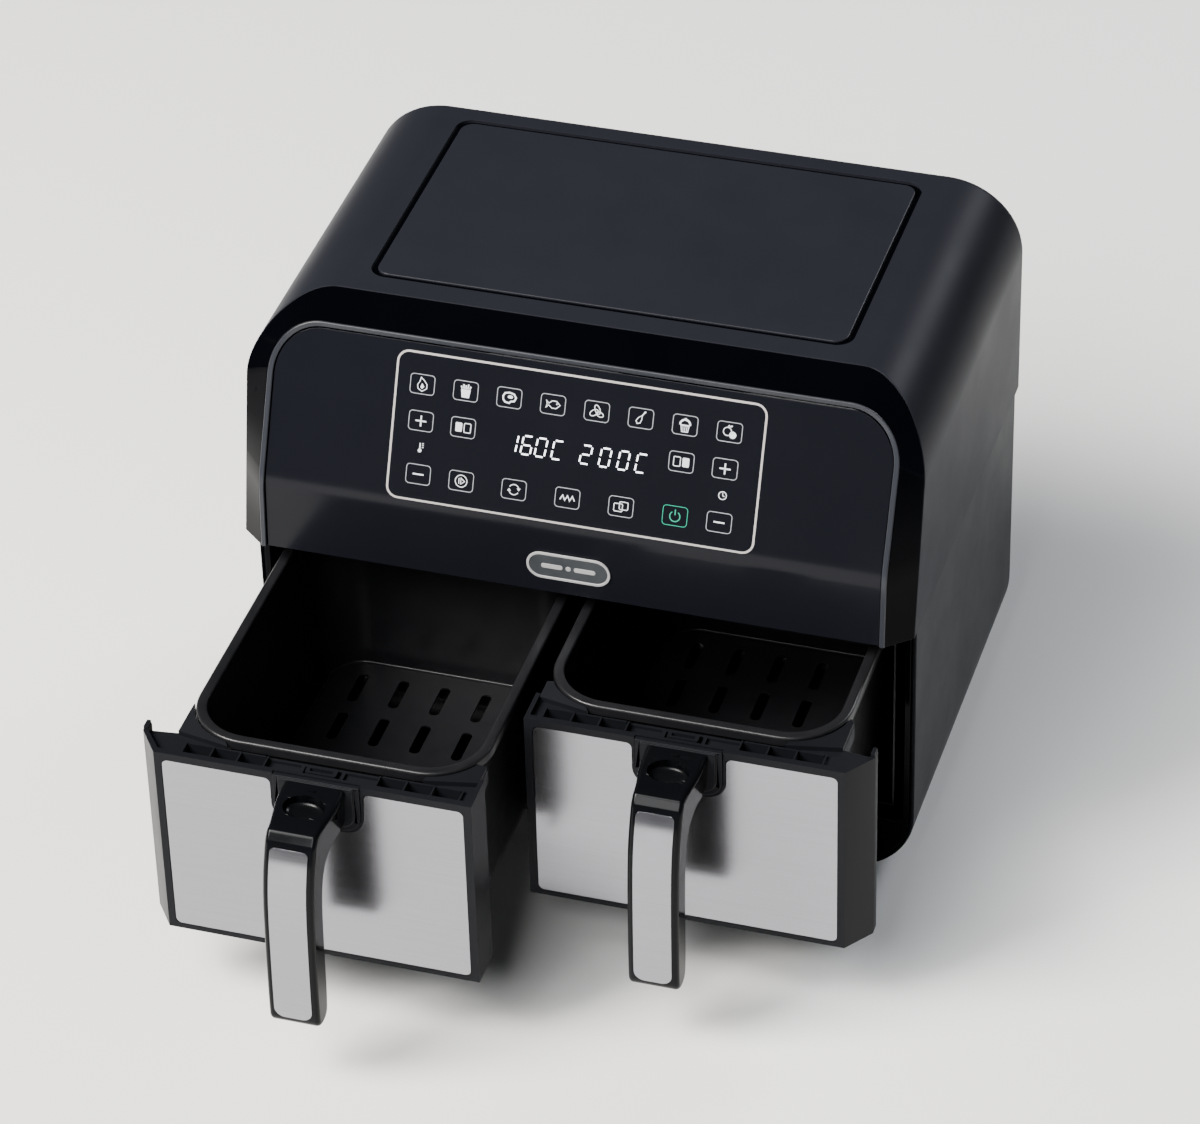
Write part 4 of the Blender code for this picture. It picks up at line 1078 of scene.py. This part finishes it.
def makeFront(side, name, spot):
    thin, deckOutline, *gussets = frontOutlines(side)
    top = drawer["top"]
    front = slab("drawerFront" + name.title(), thin, "XY", drawer["low"], top)

    def add(pieceName, outline, low, high):
        combine(front, slab(pieceName, outline, "XY", low, high), "UNION")

    add("deck", deckOutline, top - deck["low"], top - deck["drop"])
    half = rim["half"] - 0.004
    shelf = roundedBox((-half, 0.0030), (half, 0.0150), 0.002, 2)
    add("shelf", shelf, drawer["low"] + 0.0006, drawer["low"] + 0.0036)
    for outline in gussets:
        block = slab("gusset", outline, "XY", top - 0.004, rim["top"] - 0.0016)
        for vertex in block.data.vertices:  # the top ramps down away from the basket
            toRim = math.hypot(abs(vertex.co.x) - rim["half"] + rim["corner"],
                               vertex.co.y - rim["front"] - rim["corner"])
            if vertex.co.z > top and toRim > rim["corner"] + 0.0012:
                vertex.co.z = top - 0.0004
        combine(front, block, "UNION")
    near, far, deep = deck["besideLatch"]
    cells = [(*sorted((sign * x0, sign * x1)), deck["pocketDeep"], *deck["pocketY"])
             for sign in (1, -1) for x0, x1 in deck["pockets"]]
    cells += [(near, far, deep, *deck["latchY"]), (-far, -near, deep, *deck["latchY"]),
              (*deck["latchPocket"], *deck["latchY"])]
    cutters = [slab("cell", roundedBox((x0, y0), (x1, y1), 0.0005, 2), "XY", top - depth, top + past)
               for x0, x1, depth, y0, y1 in cells]
    combine(front, join("cells", cutters))
    (y0, y1), (slotY0, slotY1) = latch["y"], latch["slotY"]
    add("slotFrame", roundedBox((-latch["half"], y0), (latch["half"], y1), 0.0010, 4), top - latch["low"],
        top - latch["drop"])
    slot = roundedBox((-latch["slotHalf"], slotY0), (latch["slotHalf"], slotY1), 0.0006, 3)
    combine(front, slab("slot", slot, "XY", top - latch["slotDeep"], top + past))
    # a hook at the wing's tip catches the body when the drawer is shut
    edge = body["half"] - drawer["x"]
    root, tip = edge - hook["root"], edge - hook["tip"]
    y0, y1 = hook["y"]
    corners = ((root, y0), (tip, y0), (tip, y1), (root, y1))
    add("hook", [(side * x, y) for x, y in corners], top - hook["low"], top + hook["rise"])
    combine(front, slab("seat", plateOutline(side, 0.0003), "XZ", -past, 0.0013))
    combine(front, slab("notch", uOutline(0.0015, top + past), "XZ", -past, 0.0022))
    half, (y0, y1) = deck["ribHalf"], deck["ribY"]
    for x in deck["ribs"]:  # each rib is united by itself, because the long ones cross them
        for sign in (-1, 1):
            add("rib", roundedBox((sign * x - half, y0), (sign * x + half, y1), 0.0003, 2), top - deck["low"],
                top - deck["ribDrop"])
    (y0, y1), first, last = deck["longRibY"], deck["ribs"][0] + 0.0012, deck["ribs"][-1] - 0.0012
    for x0, x1 in ((first, last), (-last, -first)):
        add("rib", roundedBox((x0, y0), (x1, y1), 0.0003, 2), top - deck["longRibLow"],
            top - deck["longRibDrop"])
    soften(front, 0.00045, 2, 40)
    finish(move(front, spot), absDrawer, "drawer_" + name, "drawer_black", "drawer_front_" + name)


def makeSteel(side, name, spot):
    plate = slab("steelPlate" + name.title(), plateOutline(side, 0), "XZ", drawer["seat"], 0.0010)
    soften(plate, 0.00025, 2, 40)
    finish(move(plate, spot), stainless, "drawer_" + name, "steel_brushed", "steel_plate_" + name)


def makeInsert(name, spot):
    # the handle's seat: a U-shaped insert with a stepped ridge that follows its outline
    top = drawer["top"]
    insert = slab("handleInsert" + name.title(), uOutline(0.0018, top - 0.0006), "XZ", -0.0010, 0.0019)
    ridge = slab("ridge", uOutline(0.0052, top - 0.0014), "XZ", -0.0022, 0.0005)
    combine(insert, ridge, "UNION")
    soften(insert, 0.0005, 3, 40)
    finish(move(insert, spot), absDrawer, "drawer_" + name, "drawer_black", "handle_insert_" + name)


handle = {"half": 0.0145, "edge": 0.0026, "flare": 0.2, "flareY": (-0.038, 0.026), "flareZ": (0.135, 0.025)}
inlay = {"half": 0.0108, "top": 0.1588, "low": 0.0485, "frontOf": -0.042, "topCorner": 0.0028,
         "lowCorner": 0.0060, "proud": 0.0001, "thick": 0.0006, "steps": 60, "cornerSteps": 8}
well = {"back": -0.0195, "low": 0.1530, "half": (0.0117, 0.0088)}
# the cap's profile from its hollow to its dish: share of the oval, and height from the top
thumb = {"half": (0.0113, 0.0084), "top": 0.1652, "profile": (
    (0.05, -0.0019), (0.57, -0.0019), (0.59, -0.0021), (0.59, -0.0067), (1, -0.0067), (1, -0.0008),
    (0.985, -0.0003), (0.955, 0), (0.90, 0), (0.86, -0.0001), (0.81, -0.0005), (0.74, -0.0009),
    (0.60, -0.0012), (0.40, -0.0013), (0.15, -0.0014))}
# the grip from the side: along its top and down its front, then back up behind
grip = [(0.0005, 0.1700), (-0.0130, 0.1690), (-0.0300, 0.1674), (-0.0368, 0.1667), (-0.0390, 0.1662),
        (-0.0402, 0.1652), (-0.0430, 0.1622), (-0.0439, 0.1608), (-0.0447, 0.1588), (-0.0488, 0.1480),
        (-0.0520, 0.1350), (-0.0540, 0.1180), (-0.0553, 0.0900), (-0.0562, 0.0520), (-0.0556, 0.0455),
        (-0.0510, 0.0423), (-0.0440, 0.0430), (-0.0394, 0.0480), (-0.0387, 0.0900), (-0.0368, 0.1230),
        (-0.0318, 0.1385), (-0.0200, 0.1448), (-0.0080, 0.1452), (0.0005, 0.1452)]


def cutCorners(points, times):
    # each pass cuts every corner of the open path to a quarter, which rounds it
    for _ in range(times):
        rounded = [points[0]]
        for (x0, y0), (x1, y1) in zip(points, points[1:]):
            rounded += [(0.75 * x0 + 0.25 * x1, 0.75 * y0 + 0.25 * y1),
                        (0.25 * x0 + 0.75 * x1, 0.25 * y0 + 0.75 * y1)]
        points = rounded + [points[-1]]
    return points


def offsetLoop(outline, amount):
    moved = []
    for i, point in enumerate(outline):
        before = (Vector(point) - Vector(outline[i - 1])).normalized()
        after = (Vector(outline[(i + 1) % len(outline)]) - Vector(point)).normalized()
        normals = [Vector((-way.y, way.x)) for way in (before, after)]
        mitre = (normals[0] + normals[1]).normalized()
        reach = amount / max(mitre.dot(normals[0]), 0.6)
        moved.append((point[0] + mitre.x * reach, point[1] + mitre.y * reach))
    return moved


def ovalAt(halfX, halfY, centreY):
    return [(halfX * x, centreY + halfY * y) for x, y in circle(1, 48)]


def share(value, start, length):
    # how far the value is along this stretch, from 0 to 1
    return min(max((value - start) / length, 0), 1)


def makeGrip(name, spot):
    profile = cutCorners(grip, 3)
    half, edge = handle["half"], handle["edge"]
    rows = []
    for i in range(7):
        angle = math.radians(90 * i / 6)
        drawn = offsetLoop(profile, edge * (1 - math.sin(angle)))
        rows.append([(-half + edge * (1 - math.cos(angle)), y, z) for y, z in drawn])
    rows += [[(-x, y, z) for x, y, z in row] for row in reversed(rows)]
    piece = drape("handle" + name.title(), rows, closed=True, capFirst=True, capLast=True)
    for vertex in piece.data.vertices:  # the neck widens towards the drawer
        near = share(vertex.co.y, *handle["flareY"]) * share(vertex.co.z, *handle["flareZ"])
        vertex.co.x *= 1 + handle["flare"] * near * near * (3 - 2 * near)
    combine(piece, slab("well", ovalAt(*well["half"], well["back"]), "XY", well["low"], 0.17 + past))
    mark = slab("mark", roundedBox((-0.0022, -0.0078), (0.0022, -0.0064), 0.0005, 3), "XY", 0.1670, 0.1700)
    combine(piece, mark, "UNION")
    soften(piece, 0.0005, 3, 55, 45)
    finish(move(piece, spot), absHandle, "drawer_" + name, "handle_gloss", "handle_" + name)


def makeInlay(name, spot):
    # the steel inlay follows the grip's front; its four corners are rounded
    low, high = inlay["low"], inlay["top"]
    front = [(y, z) for y, z in cutCorners(grip, 3) if y < inlay["frontOf"] and low < z < high]
    front.sort(key=lambda place: -place[1])
    lengths = [0]
    for a, b in zip(front, front[1:]):
        lengths.append(lengths[-1] + math.hypot(b[0] - a[0], b[1] - a[1]))

    def along(distance):
        for i in range(len(lengths) - 1):
            if distance <= lengths[i + 1] or i == len(lengths) - 2:
                part = (distance - lengths[i]) / (lengths[i + 1] - lengths[i])
                return [front[i][k] + (front[i + 1][k] - front[i][k]) * part for k in (0, 1)]

    total, half, count = lengths[-1], inlay["half"], inlay["steps"]
    topCorner, lowCorner = inlay["topCorner"], inlay["lowCorner"]
    turn = 90 / inlay["cornerSteps"]
    bends = [1 - math.cos(math.radians(turn * i)) for i in range(inlay["cornerSteps"] + 1)]
    steps = sorted({round(topCorner * bend, 6) for bend in bends}
                   | {round(total - lowCorner * bend, 6) for bend in bends}
                   | {round(total * i / count, 6) for i in range(2, count - 2)})
    rows = []
    for step in steps:
        y, z = along(step)
        reach = half
        for corner, distance in ((topCorner, step), (lowCorner, total - step)):
            if distance < corner:
                reach = min(reach, half - corner + math.sqrt(max(corner ** 2 - (corner - distance) ** 2, 0)))
        rows.append([(k / 4 * reach, y + inlay["proud"], z) for k in range(-4, 5)])
    strip = drape("handleInlay" + name.title(), rows)
    thicken(strip, inlay["thick"], 1 if strip.data.polygons[0].normal.y < 0 else -1)
    soften(strip, 0.0002, 2, 60, 50)
    finish(move(strip, spot), stainless, "drawer_" + name, "steel_brushed", "handle_inlay_" + name)


def makeThumbButton(name, spot):
    # an oval cap with a dished top, hollow underneath where its spring sits
    halfX, halfY = thumb["half"]
    rows = [[(x, y, thumb["top"] + rise) for x, y in ovalAt(halfX * part, halfY * part, well["back"])]
            for part, rise in thumb["profile"]]
    cap = drape("thumbButton" + name.title(), rows, closed=True, capFirst=True, capLast=True)
    soften(cap, 0, smooth=50)
    finish(move(cap, spot), absButton, "button_" + name, "handle_gloss", "thumb_button_" + name)


def basketRing(inward, z, count=14):
    low = (-rim["half"] + inward, rim["front"] + inward)
    high = (rim["half"] - inward, rim["front"] + rim["length"] - inward)
    return [(x, y, z) for x, y in roundedBox(low, high, max(rim["corner"] - inward, 0.012), count)]


def makeBasket(name, spot):
    top, floor = rim["top"], rim["floor"]
    profile = [(0, top - 0.0060), (0, top - 0.0014), (0.0003, top - 0.0006), (0.0008, top - 0.0002),
               (0.0014, top), (0.0030, top + 0.0001), (0.0050, top), (0.0057, top - 0.0002),
               (0.0062, top - 0.0007), (0.0065, top - 0.0014), (0.0072, top - 0.0080),
               (0.0085, top - 0.0480), (0.0105, floor + 0.0160), (0.0116, floor + 0.0090),
               (0.0140, floor + 0.0040), (0.0175, floor + 0.0012), (0.0215, floor)]
    rows = [basketRing(inward, z) for inward, z in profile]
    basket = drape("basket" + name.title(), rows, closed=True, capLast=True)
    thicken(basket, 0.0012, -1)
    soften(basket, 0.0002, 1, 70, 50)
    finish(move(basket, spot), nonStick, "drawer_" + name, "nonstick", "basket_" + name)


tray = {"reach": 0.0145, "level": 0.0140, "thick": 0.0014, "columns": 5, "rows": 5, "pitchX": 0.0250,
        "pitchY": 0.0360, "slotHalf": 0.003, "slotReach": 0.013, "legX": 0.0570, "legY": 0.0835,
        "lip": ((0.0004, 0), (0.0002, 0.0022), (0.0008, 0.0028), (0.0016, 0.0028), (0.0022, 0.0022),
                (0.0026, 0))}


def makeTray(name, spot):
    # a slotted tray with a raised rib round its edge, on four silicone-tipped legs
    middleY = rim["front"] + rim["length"] / 2
    reach, level = tray["reach"], rim["floor"] + tray["level"]
    low = (-rim["half"] + reach, rim["front"] + reach)
    high = (rim["half"] - reach, rim["front"] + rim["length"] - reach)
    plate = slab("crisperTray" + name.title(), roundedBox(low, high, rim["corner"] - reach, 10), "XY", level,
                 level + tray["thick"])
    wide, long, cutters = tray["slotHalf"], tray["slotReach"], []
    for column in range(tray["columns"]):
        for row in range(tray["rows"]):
            x = (column - 2) * tray["pitchX"]
            y = middleY + (row - 2) * tray["pitchY"]
            outline = roundedBox((x - wide, y - long), (x + wide, y + long), wide - 0.0001, 5)
            cutters.append(slab("slot", outline, "XY", level - past, level + past))
    combine(plate, join("slots", cutters))
    soften(plate, 0.0003, 2, 40)
    lip = []
    for inward, z in tray["lip"]:
        ring = roundedBox((low[0] + inward, low[1] + inward), (high[0] - inward, high[1] - inward),
                          rim["corner"] - reach - inward, 10)
        lip.append([(x, y, level + z) for x, y in ring])
    rib = soften(drape("rib", lip + [lip[0]], closed=True), 0, smooth=60)
    whole = move(join(plate.name, [plate, rib]), spot)
    finish(whole, nonStick, "crisper_" + name, "nonstick", "crisper_tray_" + name)
    rings = [(0.0022, 0.0003), (0.0028, 0.0006), (0.0031, 0.0014), (0.0031, 0.0120), (0.0026, 0.0139)]
    tips = []
    for x in (-tray["legX"], tray["legX"]):
        for y in (middleY - tray["legY"], middleY + tray["legY"]):
            tips.append(move(soften(turned("tip", rings, 16), 0, smooth=50), (x, y, rim["floor"])))
    finish(move(join("trayFeet" + name.title(), tips), spot), siliconeRubber, "crisper_" + name, "rubber",
           "crisper_tray_" + name)


for sideName, sideSign in sides.items():
    start = drawerSpot(sideSign, sideName)
    makeFront(sideSign, sideName, start)
    makeSteel(sideSign, sideName, start)
    makeInsert(sideName, start)
    makeGrip(sideName, start)
    makeInlay(sideName, start)
    makeThumbButton(sideName, start)
    makeBasket(sideName, start)
    makeTray(sideName, start)
print("drawers made")

# CAD nodes that stay, in their real finishes

finishes = {
    "top_shell": absSatin, "top_lid_panel": absSatin, "lower_shell": absLower, "rear_cover": absLower,
    "base_plate": absLower, "front_bezel": absGloss, "bay_frame": absGloss, "control_panel": panelFilm,
    "badge_plate": badgeGrey, "mid_plate": aluminised, "control_board": solderMask, "power_board": solderMask,
    "display_module": nylon, "cord_gland": siliconeRubber,
    "foot_": siliconeRubber, "bay_liner_": nonStick, "heater_guard_": aluminised,
    "heater_housing_": aluminised,
    "hot_fan_": aluminised, "motor_bracket_": aluminised, "exhaust_duct_": aluminised,
    "heating_element_": heaterSteel, "fan_motor_": bareSteel, "motor_shaft_": bareSteel,
    "handle_screw_": bareSteel, "button_spring_": bareSteel, "cooling_fan_": nylon, "drawer_switch_": nylon,
    "drawer_front_": absDrawer, "handle_insert_": absDrawer, "handle_inlay_": stainless, "handle_": absHandle,
    "thumb_button_": absHandle, "steel_plate_": stainless, "basket_": nonStick, "crisper_tray_": nonStick,
}

for nodeName, node in nodes.items():
    key = next(k for k in finishes if nodeName == k or (k.endswith("_") and nodeName.startswith(k)))
    node.data.materials.clear()
    node.data.materials.append(finishes[key])
print("CAD nodes finished")
